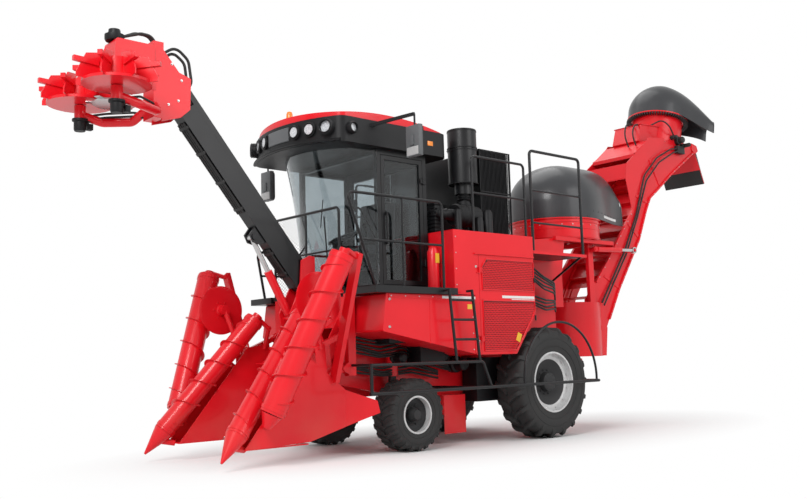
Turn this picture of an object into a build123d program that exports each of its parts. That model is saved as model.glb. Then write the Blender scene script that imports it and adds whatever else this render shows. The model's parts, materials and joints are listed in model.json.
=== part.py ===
from build123d import *
import os
from math import asin, atan2, cos, degrees, hypot, radians, sin, sqrt

# A self-propelled sugar-cane harvester on four wheels.
# X points to the machine's left, Y to its rear, Z up from the ground, in millimetres.
# Stations along Y are written from the front axle, and the finished pieces are moved by
# FRONT_AXLE_Y at the end, so that the origin lies under the middle of the machine's box.
FRONT_AXLE_Y = -1950
RUN = 0.3
FIT = 1.0

# Wheels
WHEELBASE = 2260
REAR_TYRE_R = 742
REAR_TYRE_W = 470
REAR_RIM_R = 395
REAR_TRACK_X = 1040
REAR_LUG = 45
FRONT_TYRE_R = 437
FRONT_TYRE_W = 400
FRONT_RIM_R = 218
FRONT_TRACK_X = 820
FRONT_LUG = 22
KINGPIN_X = 540
LEG_R = 50
SPINDLE_X1 = 860
SPINDLE_R = 45
SLEEVE_R = 74
SLEEVE_Z0 = 900
SLEEVE_Z1 = 1240
HUB_SHAFT_R = 60
FLANGE = 14

# Chassis
FRAME_X = 420
FRAME_WALL = 20
FRAME_Z0 = 620
FRAME_TOP = 1800
FRAME_FRONT_Y = -740
FRAME_REAR_Y = 3380
BEAM_DEPTH = 110
BEAM_TOP = 1860
BEAM_Z0 = 1500
UPRIGHT_X0 = 680
UPRIGHT_X1 = 760
UPRIGHT_TOP = 1895

# Tanks, engine bay and deck
BODY_X = 1250
TANK_X0 = 480
TANK_FRONT_Y = -730
TANK_REAR_Y = 790
TANK_TOP = 1870
DECK_TOP = 2690
DECK_T = 40
DECK_PAD = (1050, 650)
WALK_TOP = 1950
WALK_PAD = (1050, -600)
PAD = 8
BAY_FRONT_Y = 800
BAY_REAR_Y = 1950
BAY_FLOOR = 1130
SHEET = 15
HINGE_OUT = 15
HINGE_PIN_R = 8
BAY_HINGE = (BODY_X + HINGE_OUT, BAY_FRONT_Y + 82)
BAY_HINGE_Z = (1330, 2200)

# Cab
CAB_X = 820
CAB_FLOOR = 1970
CAB_REAR_Y = 420
CAB_POST = 60
CAB_POST_Y = -400
CAB_HEAD = 3680
ROOF_WALL = 60
CEILING = 15
CAP_WALL = 12
ROOF_X = 930
ROOF_FRONT_Y = -1280
ROOF_SIDE_Y = -1000
ROOF_REAR_Y = 740
LAMP_DEPTH = 30
ROOF_TOP = CAB_HEAD + 310
ROOF_CROWN = 200
GUARD_Y = -830
GLASS = 8
CAB_HINGE = (CAB_X + HINGE_OUT, CAB_REAR_Y - CAB_POST - 3)
CAB_HINGE_Z = (2300, 3350)

# Topper
BOOM_FOOT = (-990, 2050)
BOOM_TOP = (-2610, 4040)
LINK_RISE = 240
BOOM_DEPTH = 220
BOOM_W = 180
MAST_GAP = 15
MAST_PLATE = 20
LIFT_FOOT = (-1140, 1640)
LIFT_EYE = (-1680, 2594)
DRUM_X = 470
DRUM_Y = -3580
DRUM_Z = 4030
DRUM_R = 415
FINGER_R = 462
CUTTER_R = 290
CUTTER_Y = -3400
PIN_R = 25

# Crop dividers
SCROLL_R = 118
OUTER_SCROLL_R = 138
FLIGHT = 33
FLIGHT_T = 8
INNER_PLATE_X = 620
OUTER_PLATE_X = 840
PLATE = 12
ARM_ROOT_Y = -900
ARM_ROOT_Z = (1020, 1420)
ARM_REACH = -420
ARM_DROP = -170
ARM_X0 = 690
ARM_X1 = 750
SIDE_DISC_R = 310
SIDE_DISC = (1055, -1480, 1790)
INNER_TIP = (860, -2610, 100)
INNER_TOP = (500, -1320, 1650)
OUTER_TIP = (990, -2150, 430)
OUTER_TOP = (1440, -1430, 2260)
NOSE = 330
HEEL = 160

# Feed roller and base cutters
ROLLER_Y = -1120
ROLLER_Z = 1000
ROLLER_R = 140
ROLLER_FIN = 65
ROLLER_X = 545
BASE_Y = 1015
BASE_Z = 400
BASE_X = 230
BASE_DISC_R = 185
BASE_BLADE_R = 220
BASE_TILT = 10

# Extractors and elevator
DUCT_X = 580
DUCT_WALL = 18
DUCT_FRONT_Y = BAY_REAR_Y + 30
DUCT_MOUTH_Y = FRAME_REAR_Y + 100
DUCT_BEAM_X = 640
SHELF_X = 1190
SHELF_Y = (2030, 3110)
SHELF_TOP = 2500
SHELF_RAIL = 3900
RING_Y = 3970
RING_R = 700
RING_WALL = 15
RING_Z0 = 2860
RING_Z1 = 3180
HOOD_BASE = RING_Z1 + RUN
HOOD_TRUNK = 1130
HOOD_MOUTH_X = 370
SLEW_Y = 4200
BOWL_R = 520
BOWL_Z0 = 1062
BOWL_TOP = 1900
BOWL_CUT = 250
TILT_PIN = (4450, 1500)
ELEV_X = 420
LUFF_FOOT = (4200, 2720)
LUFF_EYE = (5240, 2760)
LUFF_X = 590
SECOND_RING_R = 440
SECOND_HOOD_R = 530
SECOND_RING_Y = 7100
SECOND_RING_Z = 5310
SECOND_TILT = -12
SECOND_RISE = 660
HEAD_ROOF = (6480, 4742, 7560, 4860)
SIDE_WALL = 15
FLAP = ((7600, 4800), (7900, 4180))
# The middle line of the elevator's chain loop, as (y, z) points from its foot to its head.
CHAIN_RUN = ((4310, 1370), (4720, 2160), (6110, 3970), (7140, 4622))
CHAIN_X = 360
CHAIN_HALF = 15
SPROCKET_HALF = 10
SHAFT_R = 25
SPROCKET_R = 75
SLAT_HALF = 35
SLAT_STEP = 300


def block(x0, x1, y0, y1, z0, z1):
    return Pos((x0 + x1) / 2, (y0 + y1) / 2, (z0 + z1) / 2) * Box(abs(x1 - x0), y1 - y0, z1 - z0)


def plate(points, x0, x1):
    # A side outline of (y, z) points, as thick as from x0 to x1.
    face = make_face(Plane.YZ * Polyline(*points, close=True))
    return Pos(min(x0, x1), 0, 0) * extrude(face, amount=abs(x1 - x0), dir=(1, 0, 0))


def drum_x(y, z, r, x0, x1):
    return Pos((x0 + x1) / 2, y, z) * (Rot(0, 90, 0) * Cylinder(r, abs(x1 - x0)))


def drum_z(x, y, r, z0, z1):
    return Pos(x, y, (z0 + z1) / 2) * Cylinder(r, z1 - z0)


def rod(a, b, r):
    # A round bar from one point to another.
    a, b = Vector(*a), Vector(*b)
    return extrude(Plane(origin=a, z_dir=b - a) * Circle(r), amount=(b - a).length)


def beam(a, b, width, depth):
    # A rectangular bar whose width lies along X where it can.
    a, b = Vector(*a), Vector(*b)
    frame = Plane(origin=a, x_dir=(1, 0, 0), z_dir=b - a)
    return extrude(frame * Rectangle(width, depth), amount=(b - a).length)


def bent_tube(points, r, bend):
    # A tube along straight runs joined by arcs of one radius.
    path = FilletPolyline(*points, radius=bend)
    start = Vector(*points[0])
    section = Plane(origin=start, z_dir=Vector(*points[1]) - start) * Circle(r)
    return sweep(section, path=path)


def hinge_leaf(x, y, z, way):
    # A door's leaf and its barrel, on the outer skin whose hinge line stands HINGE_OUT off it.
    leaf = block(x - HINGE_OUT, x, min(y, y + way * 45), max(y, y + way * 45), z - 30, z + 30)
    return leaf + drum_z(x, y, 14, z - 30, z + 30) - drum_z(x, y, HINGE_PIN_R + RUN, z - 31, z + 31)


def hinge_pin(x, y, z, way):
    # The frame's pin, held above and below the door's barrel.
    body = drum_z(x, y, HINGE_PIN_R, z - 42, z + 42)
    for z0, z1 in ((z - 42, z - 30 - RUN), (z + 30 + RUN, z + 42)):
        body += drum_z(x, y, 14, z0, z1)
        body += block(x - HINGE_OUT, x, min(y, y + way * 45), max(y, y + way * 45), z0, z1)
    return body


def turned(points):
    # A section of (x, radius) points, turned about the X axis.
    return revolve(make_face(Plane.XY * Polyline(*points, close=True)), axis=Axis.X, revolution_arc=360)


def other_side(shape):
    return mirror(shape, about=Plane.YZ)


def axis_frame(a, b):
    # A frame at a whose Z runs to b and whose X is as level as it can be.
    a, b = Vector(*a), Vector(*b)
    return Plane(origin=a, x_dir=(b - a).cross(Vector(0, 0, 1)), z_dir=b - a)


def length_of(a, b):
    return (Vector(*b) - Vector(*a)).length


def tyre(radius, width, rim, bead, lug):
    crown = radius - lug
    side = (radius - rim) * 0.5
    half = [(bead / 2, rim), (bead / 2, rim + 12), (bead / 2 + FLANGE + 2, rim + 14)]
    half += [(width / 2, rim + side * 0.8), (width / 2, rim + side * 1.25)]
    half += [(width * 0.46, crown - 12), (width * 0.40, crown)]
    points = half + [(-x, r) for x, r in reversed(half)]
    return turned(points)


def lugs(radius, width, lug, count, lean):
    # Bars from the middle line to the shoulders, one row turned half a step from the other,
    # trimmed to the tread's own round outline.
    bars = []
    length = width * 0.56 / cos(radians(lean))
    thick = lug * 0.9 + 10
    root = radius - lug - 25
    for side in (1, -1):
        for step in range(count):
            turn = 360 / count * (step + (0.25 if side > 0 else 0.75))
            bar = Pos(side * width * 0.235, 0, (root + radius) / 2)
            bar = bar * (Rot(0, 0, side * lean) * Box(length, thick, radius - root))
            bars.append(Rot(turn, 0, 0) * bar)
    edge = width / 2
    outline = turned([(-edge, root - 60), (-edge, radius - lug), (-width * 0.44, radius),
                      (width * 0.44, radius), (edge, radius - lug), (edge, root - 60)])
    return [bar & outline for bar in bars]


def front_tyre():
    body = tyre(FRONT_TYRE_R, FRONT_TYRE_W, FRONT_RIM_R, 330, FRONT_LUG)
    body += lugs(FRONT_TYRE_R, FRONT_TYRE_W, FRONT_LUG, 20, 30)
    return Pos(FRONT_TRACK_X, 0, FRONT_TYRE_R) * body


def rear_tyre():
    body = tyre(REAR_TYRE_R, REAR_TYRE_W, REAR_RIM_R, 400, REAR_LUG)
    body += lugs(REAR_TYRE_R, REAR_TYRE_W, REAR_LUG, 18, 40)
    return Pos(REAR_TRACK_X, WHEELBASE, REAR_TYRE_R) * body


def rim_barrel(rim, bead, wall):
    edge = bead / 2
    barrel = turned([(-edge, rim - wall), (edge, rim - wall), (edge, rim), (-edge, rim)])
    lip = turned([(edge, rim - wall), (edge + FLANGE, rim - wall), (edge + FLANGE, rim + 10),
                  (edge, rim + 10)])
    return barrel + lip + other_side(lip)


def front_rim():
    hub_x = SPINDLE_X1 - FRONT_TRACK_X
    dish = turned([(20, SPINDLE_R), (60, SPINDLE_R), (60, 100), (95, 150), (95, FRONT_RIM_R - 10),
                   (80, FRONT_RIM_R - 10), (80, 155), (20, 110)])
    hub = turned([(-80, SPINDLE_R + RUN), (hub_x, SPINDLE_R + RUN), (hub_x, 0), (hub_x + 40, 0),
                  (hub_x + 40, 60), (60, 85), (-80, 85)])
    return Pos(FRONT_TRACK_X, 0, FRONT_TYRE_R) * (rim_barrel(FRONT_RIM_R, 330, 12) + dish + hub)


def rear_rim():
    dish = turned([(30, 0), (60, 0), (60, 190), (140, 330), (140, REAR_RIM_R - 10), (115, REAR_RIM_R - 10),
                   (115, 335), (30, 200)])
    cap = turned([(60, 0), (150, 0), (150, 90), (135, 120), (60, 130)])
    shaft = turned([(-150, 0), (30, 0), (30, HUB_SHAFT_R), (-150, HUB_SHAFT_R)])
    body = rim_barrel(REAR_RIM_R, 400, 14) + dish + cap + shaft
    return Pos(REAR_TRACK_X, WHEELBASE, REAR_TYRE_R) * body


def knuckle():
    leg = drum_z(KINGPIN_X, 0, LEG_R, 380, SLEEVE_Z1 - 20)
    carrier = block(KINGPIN_X - 60, KINGPIN_X + 60, -60, 60, 360, 520)
    spindle = drum_x(0, FRONT_TYRE_R, SPINDLE_R, KINGPIN_X, SPINDLE_X1 - 4)
    collar = drum_x(0, FRONT_TYRE_R, 80, KINGPIN_X + 40, FRONT_TRACK_X - 80 - FIT)
    arm = block(KINGPIN_X - 25, KINGPIN_X + 25, 40, 250, 545, 580)
    collar_top = drum_z(KINGPIN_X, 0, 68, 520, 600)
    return leg + carrier + spindle + collar + arm + collar_top


def chassis_frame():
    outline = [(FRAME_FRONT_Y, 820), (300, FRAME_Z0), (3000, FRAME_Z0), (FRAME_REAR_Y, 1100),
               (FRAME_REAR_Y, FRAME_TOP), (FRAME_FRONT_Y, FRAME_TOP)]
    side = plate(outline, FRAME_X - FRAME_WALL, FRAME_X)
    inner = FRAME_X - FRAME_WALL
    # Columns: y0, y1, z0, z1 of each cross member
    crosses = [(FRAME_FRONT_Y, 800, FRAME_TOP - 30, FRAME_TOP), (1300, 1420, 1650, 1780),
               (WHEELBASE - 110, WHEELBASE + 110, REAR_TYRE_R - 110, REAR_TYRE_R + 110),
               (3150, FRAME_REAR_Y, 1110, 1200)]
    body = side + other_side(side)
    for y0, y1, z0, z1 in crosses:
        body += block(-inner, inner, y0, y1, z0, z1)
    sleeve = drum_z(KINGPIN_X, 0, SLEEVE_R, SLEEVE_Z0, SLEEVE_Z1 + 15)
    for z in (920, 1140):
        sleeve += block(FRAME_X - 5, KINGPIN_X, -45, 45, z, z + 90)
    sleeve -= drum_z(KINGPIN_X, 0, LEG_R + RUN, SLEEVE_Z0, SLEEVE_Z1)
    drive = drum_x(WHEELBASE, REAR_TYRE_R, 175, inner, 760)
    drive += drum_x(WHEELBASE, REAR_TYRE_R, 150, 700, REAR_TRACK_X + 30 - FIT)
    drive -= drum_x(WHEELBASE, REAR_TYRE_R, HUB_SHAFT_R + RUN, REAR_TRACK_X - 155, REAR_TRACK_X + 40)
    body += [sleeve, other_side(sleeve), drive, other_side(drive)]
    return body


def slew_tail():
    # The bracket under the elevator's turntable, hung from the rear cross member by two webs.
    tail = block(-150, 150, 3200, SLEW_Y + 120, 960, 1030)
    tail += drum_z(0, SLEW_Y, 130, 960, 1052)
    tail -= drum_z(0, SLEW_Y, 60 + RUN, 900, 1100)
    webs = [block(x, x + 20, 3200, FRAME_REAR_Y, 1030, 1110) for x in (-150, 130)]
    return [tail] + webs


def front_frame():
    y0 = FRAME_FRONT_Y - BEAM_DEPTH
    body = block(-UPRIGHT_X1, UPRIGHT_X1, y0, FRAME_FRONT_Y, BEAM_Z0, BEAM_TOP)
    for side in (1, -1):
        post = block(side * UPRIGHT_X0, side * UPRIGHT_X1, y0, FRAME_FRONT_Y, 930, UPRIGHT_TOP)
        for z in ARM_ROOT_Z:
            lug = [(y0, z - 70), (y0, z + 70), (ARM_ROOT_Y, z + 45), (ARM_ROOT_Y - 45, z),
                   (ARM_ROOT_Y, z - 45)]
            for x0, x1 in ((UPRIGHT_X0 - 15, ARM_X0 - 5), (ARM_X1 + 5, UPRIGHT_X1 + 10)):
                post += plate(lug, side * x0, side * x1)
            post += drum_x(ARM_ROOT_Y, z, PIN_R, side * (UPRIGHT_X0 - 15), side * (UPRIGHT_X1 + 10))
        outline = [(y0, BEAM_Z0), (y0, 1620), (ROLLER_Y - 60, ROLLER_Z + 60),
                   (ROLLER_Y - 60, ROLLER_Z - 60), (ROLLER_Y + 60, ROLLER_Z - 60), (y0, 1300)]
        hanger = plate(outline, side * (ROLLER_X + 10), side * (ROLLER_X + 30))
        hanger -= drum_x(ROLLER_Y, ROLLER_Z, 30 + RUN, -700, 700)
        body += [post, hanger]
    return body


def topper_mast():
    front_y = FRAME_FRONT_Y - BEAM_DEPTH
    outline = [(front_y, BEAM_Z0 + 20), (front_y, 2390), (-930, 2400),
               (-1050, 2340), (-1075, 2000), (-1225, 1700), (-1200, 1560)]
    x0 = BOOM_W / 2 + MAST_GAP
    side = plate(outline, x0, x0 + MAST_PLATE)
    body = side + other_side(side)
    foot = (BOOM_FOOT[0] + 20, BOOM_FOOT[1] + LINK_RISE)
    for y, z in (BOOM_FOOT, foot, LIFT_FOOT):
        body += drum_x(y, z, PIN_R, -x0 - MAST_PLATE, x0 + MAST_PLATE)
    return body + block(-x0, x0, front_y - 25, front_y, BEAM_Z0 + 20, 2390)


def boom_frame(start, end):
    # Along the boom in the machine's middle plane, with X across.
    along = (0, end[0] - start[0], end[1] - start[1])
    return Plane(origin=(0, start[0], start[1]), x_dir=(1, 0, 0), z_dir=along)


def boom_solid(width, depth, start, end, trim0, trim1, eye_r, pin_r):
    # A box beam between two eyes, with its pin bores.
    run = hypot(end[0] - start[0], end[1] - start[1])
    frame = boom_frame(start, end)
    body = frame * (Pos(0, 0, (trim0 + run - trim1) / 2) * Box(width, depth, run - trim0 - trim1))
    for y, z in (start, end):
        body += drum_x(y, z, eye_r, -width / 2, width / 2)
    for y, z in (start, end):
        body -= drum_x(y, z, pin_r + RUN, -width, width)
    return body


def topper_boom():
    body = boom_solid(BOOM_W, BOOM_DEPTH, BOOM_FOOT, BOOM_TOP, 30, 60, 80, PIN_R)
    # The bracket that takes the lift cylinder's eye hangs below the beam.
    # Its cheeks hold a stub pin each and leave the eye free to swing between them.
    bracket = plate([(-1380, 2560), (-1600, 2820), (-1745, 2620), (-1700, 2530), (-1620, 2510)], 45, 70)
    bracket += drum_x(LIFT_EYE[0], LIFT_EYE[1], 38, 45, 84)
    return body + bracket + other_side(bracket)


def link_ends():
    foot = (BOOM_FOOT[0] + 20, BOOM_FOOT[1] + LINK_RISE)
    top = (BOOM_TOP[0] + 20, BOOM_TOP[1] + LINK_RISE)
    return foot, top


def topper_link():
    foot, top = link_ends()
    return boom_solid(110, 70, foot, top, 20, 20, 42, PIN_R)


def topper_head():
    top = link_ends()[1]
    outline = [(BOOM_TOP[0] + 60, BOOM_TOP[1] - 60), (BOOM_TOP[0] + 70, BOOM_TOP[1] + LINK_RISE + 60),
               (BOOM_TOP[0] - 80, BOOM_TOP[1] + LINK_RISE + 110), (-2900, 4640), (-2900, 3800),
               (BOOM_TOP[0] - 60, BOOM_TOP[1] - 170)]
    x0 = BOOM_W / 2 + MAST_GAP
    cheek = plate(outline, x0, x0 + MAST_PLATE)
    body = cheek + other_side(cheek)
    for y, z in (BOOM_TOP, top):
        body += drum_x(y, z, PIN_R, -x0 - MAST_PLATE, x0 + MAST_PLATE)
    body += block(-x0 - MAST_PLATE, x0 + MAST_PLATE, -3000, -2880, 3830, 4700)
    cover = block(-140, 140, -3450, -2990, 4390, 4640)
    cover = fillet(cover.edges().filter_by(Axis.X), 40)
    body += cover
    # Arms reach under the drums and carry their motors and the cutter's.
    for side in (1, -1):
        route = [(side * 60, -2960, 3980), (side * 300, -3050, 3850), (side * DRUM_X, -3320, 3840),
                 (side * DRUM_X, DRUM_Y, 3890)]
        body += bent_tube(route, 50, 90)
        body += drum_z(side * DRUM_X, DRUM_Y, 62, 3840, DRUM_Z - 40)
        body -= drum_z(side * DRUM_X, DRUM_Y, 30 + RUN, 3940, DRUM_Z)
    body -= drum_z(0, CUTTER_Y, 30 + RUN, 4300, 4640)
    return body


def topper_drum():
    body = drum_z(0, 0, DRUM_R - 60, DRUM_Z - 30, DRUM_Z)
    body += drum_z(0, 0, 170, DRUM_Z, DRUM_Z + 230)
    body += drum_z(0, 0, 30, 3945, DRUM_Z)
    count = 8
    fin = plate([(120, DRUM_Z - 30), (FINGER_R - 30, DRUM_Z - 10), (FINGER_R - 30, DRUM_Z + 40),
                 (330, DRUM_Z + 250), (120, DRUM_Z + 290)], -8, 8)
    finger = plate([(200, DRUM_Z + 130), (FINGER_R, DRUM_Z + 150), (FINGER_R, DRUM_Z + 200),
                    (200, DRUM_Z + 190)], -25, 25)
    for step in range(count):
        body += Rot(0, 0, 360 / count * step) * fin
        body += Rot(0, 0, 360 / count * step) * finger
    return Pos(DRUM_X, DRUM_Y, 0) * body


def topper_cutter():
    body = drum_z(0, CUTTER_Y, CUTTER_R - 60, 3930, 3945)
    body += drum_z(0, CUTTER_Y, 30, 3945, 4630)
    for step in range(6):
        blade = block(CUTTER_R - 120, CUTTER_R, -35, 35, 3945, 3953)
        body += Pos(0, CUTTER_Y, 0) * (Rot(0, 0, 60 * step) * blade)
    return body


def cylinder_parts(foot, eye, x, bore_r, rod_r, barrel_run, rod_run, eye_r, eye_half, eye_bore):
    # Barrel and rod between two pins in one plane of constant X.
    run = hypot(eye[0] - foot[0], eye[1] - foot[1])
    along = (0, eye[0] - foot[0], eye[1] - foot[1])
    frame = Plane(origin=(x, foot[0], foot[1]), x_dir=(1, 0, 0), z_dir=along)
    barrel = frame * (Pos(0, 0, (60 + barrel_run) / 2) * Cylinder(bore_r + 12, barrel_run - 60))
    barrel -= frame * (Pos(0, 0, (80 + barrel_run) / 2) * Cylinder(bore_r, barrel_run - 60))
    gland = frame * (Pos(0, 0, barrel_run - 20) * Cylinder(bore_r + 1, 40))
    gland -= frame * (Pos(0, 0, barrel_run - 20) * Cylinder(rod_r + RUN, 44))
    barrel += gland
    lug = frame * (Pos(0, 0, 35) * Box(2 * eye_half, 60, 70))
    barrel += lug + drum_x(foot[0], foot[1], 42, x - eye_half, x + eye_half)
    barrel -= drum_x(foot[0], foot[1], PIN_R + RUN, x - 200, x + 200)
    piston = frame * (Pos(0, 0, run - rod_run / 2) * Cylinder(rod_r, rod_run))
    piston += drum_x(eye[0], eye[1], eye_r, x - eye_half, x + eye_half)
    if eye_bore:
        piston -= drum_x(eye[0], eye[1], eye_bore, x - 200, x + 200)
    return barrel, piston


def half_flights(tube_r, tip_r, length, pitch, start, hand):
    # Each turn of the flight is two flat half rings, tilted one way and then the other.
    rings = []
    half = pitch / 2
    tilt = degrees(atan2(half / 2, tip_r))
    count = int((length - start) / half)
    ring = Cylinder(tip_r, FLIGHT_T) - Cylinder(tube_r - 4, FLIGHT_T + 2)
    ring = ring & (Pos(0, tip_r, 0) * Box(4 * tip_r, 2 * tip_r, 4 * FLIGHT_T))
    for step in range(count):
        side = 1 if step % 2 == 0 else -1
        lean = -side * tilt * hand
        piece = Rot(0, 0, 0 if side > 0 else 180) * (Rot(0, tilt * hand, 0) * ring)
        rings.append(Pos(0, 0, start + half * (step + 0.5)) * piece)
    return rings


def scroll(tube_r, length, pitch, hand):
    body = Cylinder(tube_r, length, align=(Align.CENTER, Align.CENTER, Align.MIN))
    body += half_flights(tube_r, tube_r + FLIGHT, length, pitch, 120, hand)
    for z0, z1 in ((-60, 0), (length, length + 60)):
        body += drum_z(0, 0, 30, z0, z1)
    return body


def inner_axis():
    return axis_frame(INNER_TIP, INNER_TOP)


def outer_axis():
    return axis_frame(OUTER_TIP, OUTER_TOP)


def inner_scroll():
    run = length_of(INNER_TIP, INNER_TOP)
    return inner_axis() * (Pos(0, 0, NOSE + FIT) * scroll(SCROLL_R, run - NOSE, 300, 1))


def outer_scroll():
    run = length_of(OUTER_TIP, OUTER_TOP)
    return outer_axis() * (Pos(0, 0, HEEL) * scroll(OUTER_SCROLL_R, run - HEEL, 320, -1))


def divider():
    inner = plate([(-2300, 200), (-1740, 200), (-990, 900), (-1040, 1360), (-1360, 1300)],
                  INNER_PLATE_X, INNER_PLATE_X + PLATE)
    outer = plate([(-2330, 200), (-1480, 230), (-980, 360), (-980, 780), (-1300, 1020),
                   (-1450, 1130), (-2150, 420)], OUTER_PLATE_X, OUTER_PLATE_X + PLATE)
    body = inner + outer
    body += block(INNER_PLATE_X + PLATE, OUTER_PLATE_X, -2290, -1500, 200, 215)
    flare = Plane(origin=(OUTER_PLATE_X + PLATE / 2, -985, 0), x_dir=(190, 365, 0), z_dir=(365, -190, 0))
    wing = make_face(Polyline((0, 360), (410, 500), (380, 640), (0, 778), close=True))
    body += extrude(flare * wing, amount=PLATE / 2, both=True)
    y1 = ARM_ROOT_Y + ARM_REACH
    for z in ARM_ROOT_Z:
        body += drum_x(y1, z + ARM_DROP, PIN_R, INNER_PLATE_X + 2, OUTER_PLATE_X + 10)
        body += drum_x(y1, z + ARM_DROP, 50, ARM_X1 + 5, OUTER_PLATE_X + 2)
        body += drum_x(y1, z + ARM_DROP, 50, INNER_PLATE_X + 4, ARM_X0 - 5)
    body += beam((OUTER_PLATE_X + 6, -1300, 900), (OUTER_PLATE_X + 6, -1330, 1300), PLATE, 140)
    # Nose and lower bearings
    frame = inner_axis()
    nose = frame * (Pos(0, 0, NOSE / 2) * Cone(12, SCROLL_R, NOSE))
    nose -= frame * (Pos(0, 0, NOSE) * Cylinder(30 + RUN, 130))
    body += nose
    body += rod((821, -2471, 245), (760, -2280, 207), 35)
    heel = outer_axis() * (Pos(0, 0, HEEL / 2 - 5) * Cone(45, OUTER_SCROLL_R - 20, HEEL - 10))
    heel -= outer_axis() * (Pos(0, 0, HEEL) * Cylinder(30 + RUN, 130))
    body += heel
    body += rod((990, -2140, 440), (OUTER_PLATE_X + 5, -2060, 440), 30)
    # Upper bearings and the struts that carry them
    run = length_of(INNER_TIP, INNER_TOP)
    seat = inner_axis().from_local_coords(Vector(0, 0, run + 32))
    elbow = seat + Vector(0, 166, -139)
    body += inner_axis() * (Pos(0, 0, run + 2 * FIT + 30) * Cylinder(60, 60))
    body += rod(seat, elbow, 28)
    body += drum_x(elbow.Y, elbow.Z, 34, elbow.X - 20, elbow.X + 30)
    body += rod(elbow, (INNER_PLATE_X + 5, -1110, 1290), 28)
    body -= inner_axis() * (Pos(0, 0, run) * Cylinder(30 + RUN, 140))
    run = length_of(OUTER_TIP, OUTER_TOP)
    seat = outer_axis().from_local_coords(Vector(0, 0, run + 45))
    body += outer_axis() * (Pos(0, 0, run + FIT + 30) * Cylinder(60, 60))
    body += rod(seat + Vector(0, 40, 0), (1385, -1190, 2240), 30)
    body -= outer_axis() * (Pos(0, 0, run) * Cylinder(30 + RUN, 140))
    body += beam((1400, -1190, 2290), (OUTER_PLATE_X + 8, -1130, 880), 110, 60)
    # The side disc's motor and its strut
    x, y, z = SIDE_DISC
    motor = drum_x(y, z, 62, x - 130, x - 18) + rod((x - 95, y, z), (OUTER_PLATE_X + 8, -1325, 1250), 32)
    return body + (motor - drum_x(y, z, 20 + RUN, x - 100, x))


def side_disc():
    x, y, z = SIDE_DISC
    disc = turned([(-8, 0), (0, 0), (0, SIDE_DISC_R - 30), (-3, SIDE_DISC_R), (-5, SIDE_DISC_R),
                   (-8, SIDE_DISC_R - 30)])
    return Pos(x, y, z) * disc + drum_x(y, z, 20, x - 90, x - 8)


def divider_arm(z):
    start, end = (ARM_ROOT_Y, z), (ARM_ROOT_Y + ARM_REACH, z + ARM_DROP)
    body = boom_solid(ARM_X1 - ARM_X0, 60, start, end, 10, 10, 42, PIN_R)
    return Pos((ARM_X0 + ARM_X1) / 2, 0, 0) * body


def knockdown_roller():
    body = drum_x(0, 0, ROLLER_R, -ROLLER_X, ROLLER_X)
    body += drum_x(0, 0, 30, -ROLLER_X - 26, ROLLER_X + 26)
    for step in range(6):
        fin = block(-ROLLER_X + 10, ROLLER_X - 10, -6, 6, ROLLER_R - 8, ROLLER_R + ROLLER_FIN)
        body += Rot(60 * step, 0, 0) * fin
    return Pos(0, ROLLER_Y, ROLLER_Z) * body


def base_pose():
    return Pos(0, BASE_Y, BASE_Z) * Rot(BASE_TILT, 0, 0)


def base_cutter_box():
    body = base_pose() * block(-BASE_X - 190, BASE_X + 190, -190, 190, 40, 230)
    inner = FRAME_X - FRAME_WALL
    for side in (1, -1):
        leg = base_pose() * drum_z(side * BASE_X, 0, 90, -60, 60)
        leg -= base_pose() * drum_z(side * BASE_X, 0, 35 + RUN, -80, 40)
        body += leg
        body += block(side * inner, side * 590, 810, 1220, 380, FRAME_Z0 + 5)
        body += block(side * 590, side * 600, 820, 1210, 130, FRAME_Z0)
    return body


def base_cutter_disc():
    body = drum_z(0, 0, BASE_DISC_R, -80, -62) + drum_z(0, 0, 35, -62, 36)
    for step in range(5):
        body += Rot(0, 0, 72 * step) * block(BASE_DISC_R - 50, BASE_BLADE_R, -45, 45, -87, -80)
    return base_pose() * (Pos(BASE_X, 0, 0) * body)


def tank():
    outline = [(TANK_FRONT_Y + 60, TANK_TOP), (TANK_REAR_Y, TANK_TOP), (TANK_REAR_Y, 1140),
               (TANK_FRONT_Y, 1430)]
    body = plate(outline, TANK_X0, BODY_X)
    body = fillet(body.edges().filter_by(Axis.X), 25)
    return body + block(FRAME_X + RUN, TANK_X0 + 20, -500, 600, 1500, 1560)


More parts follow.
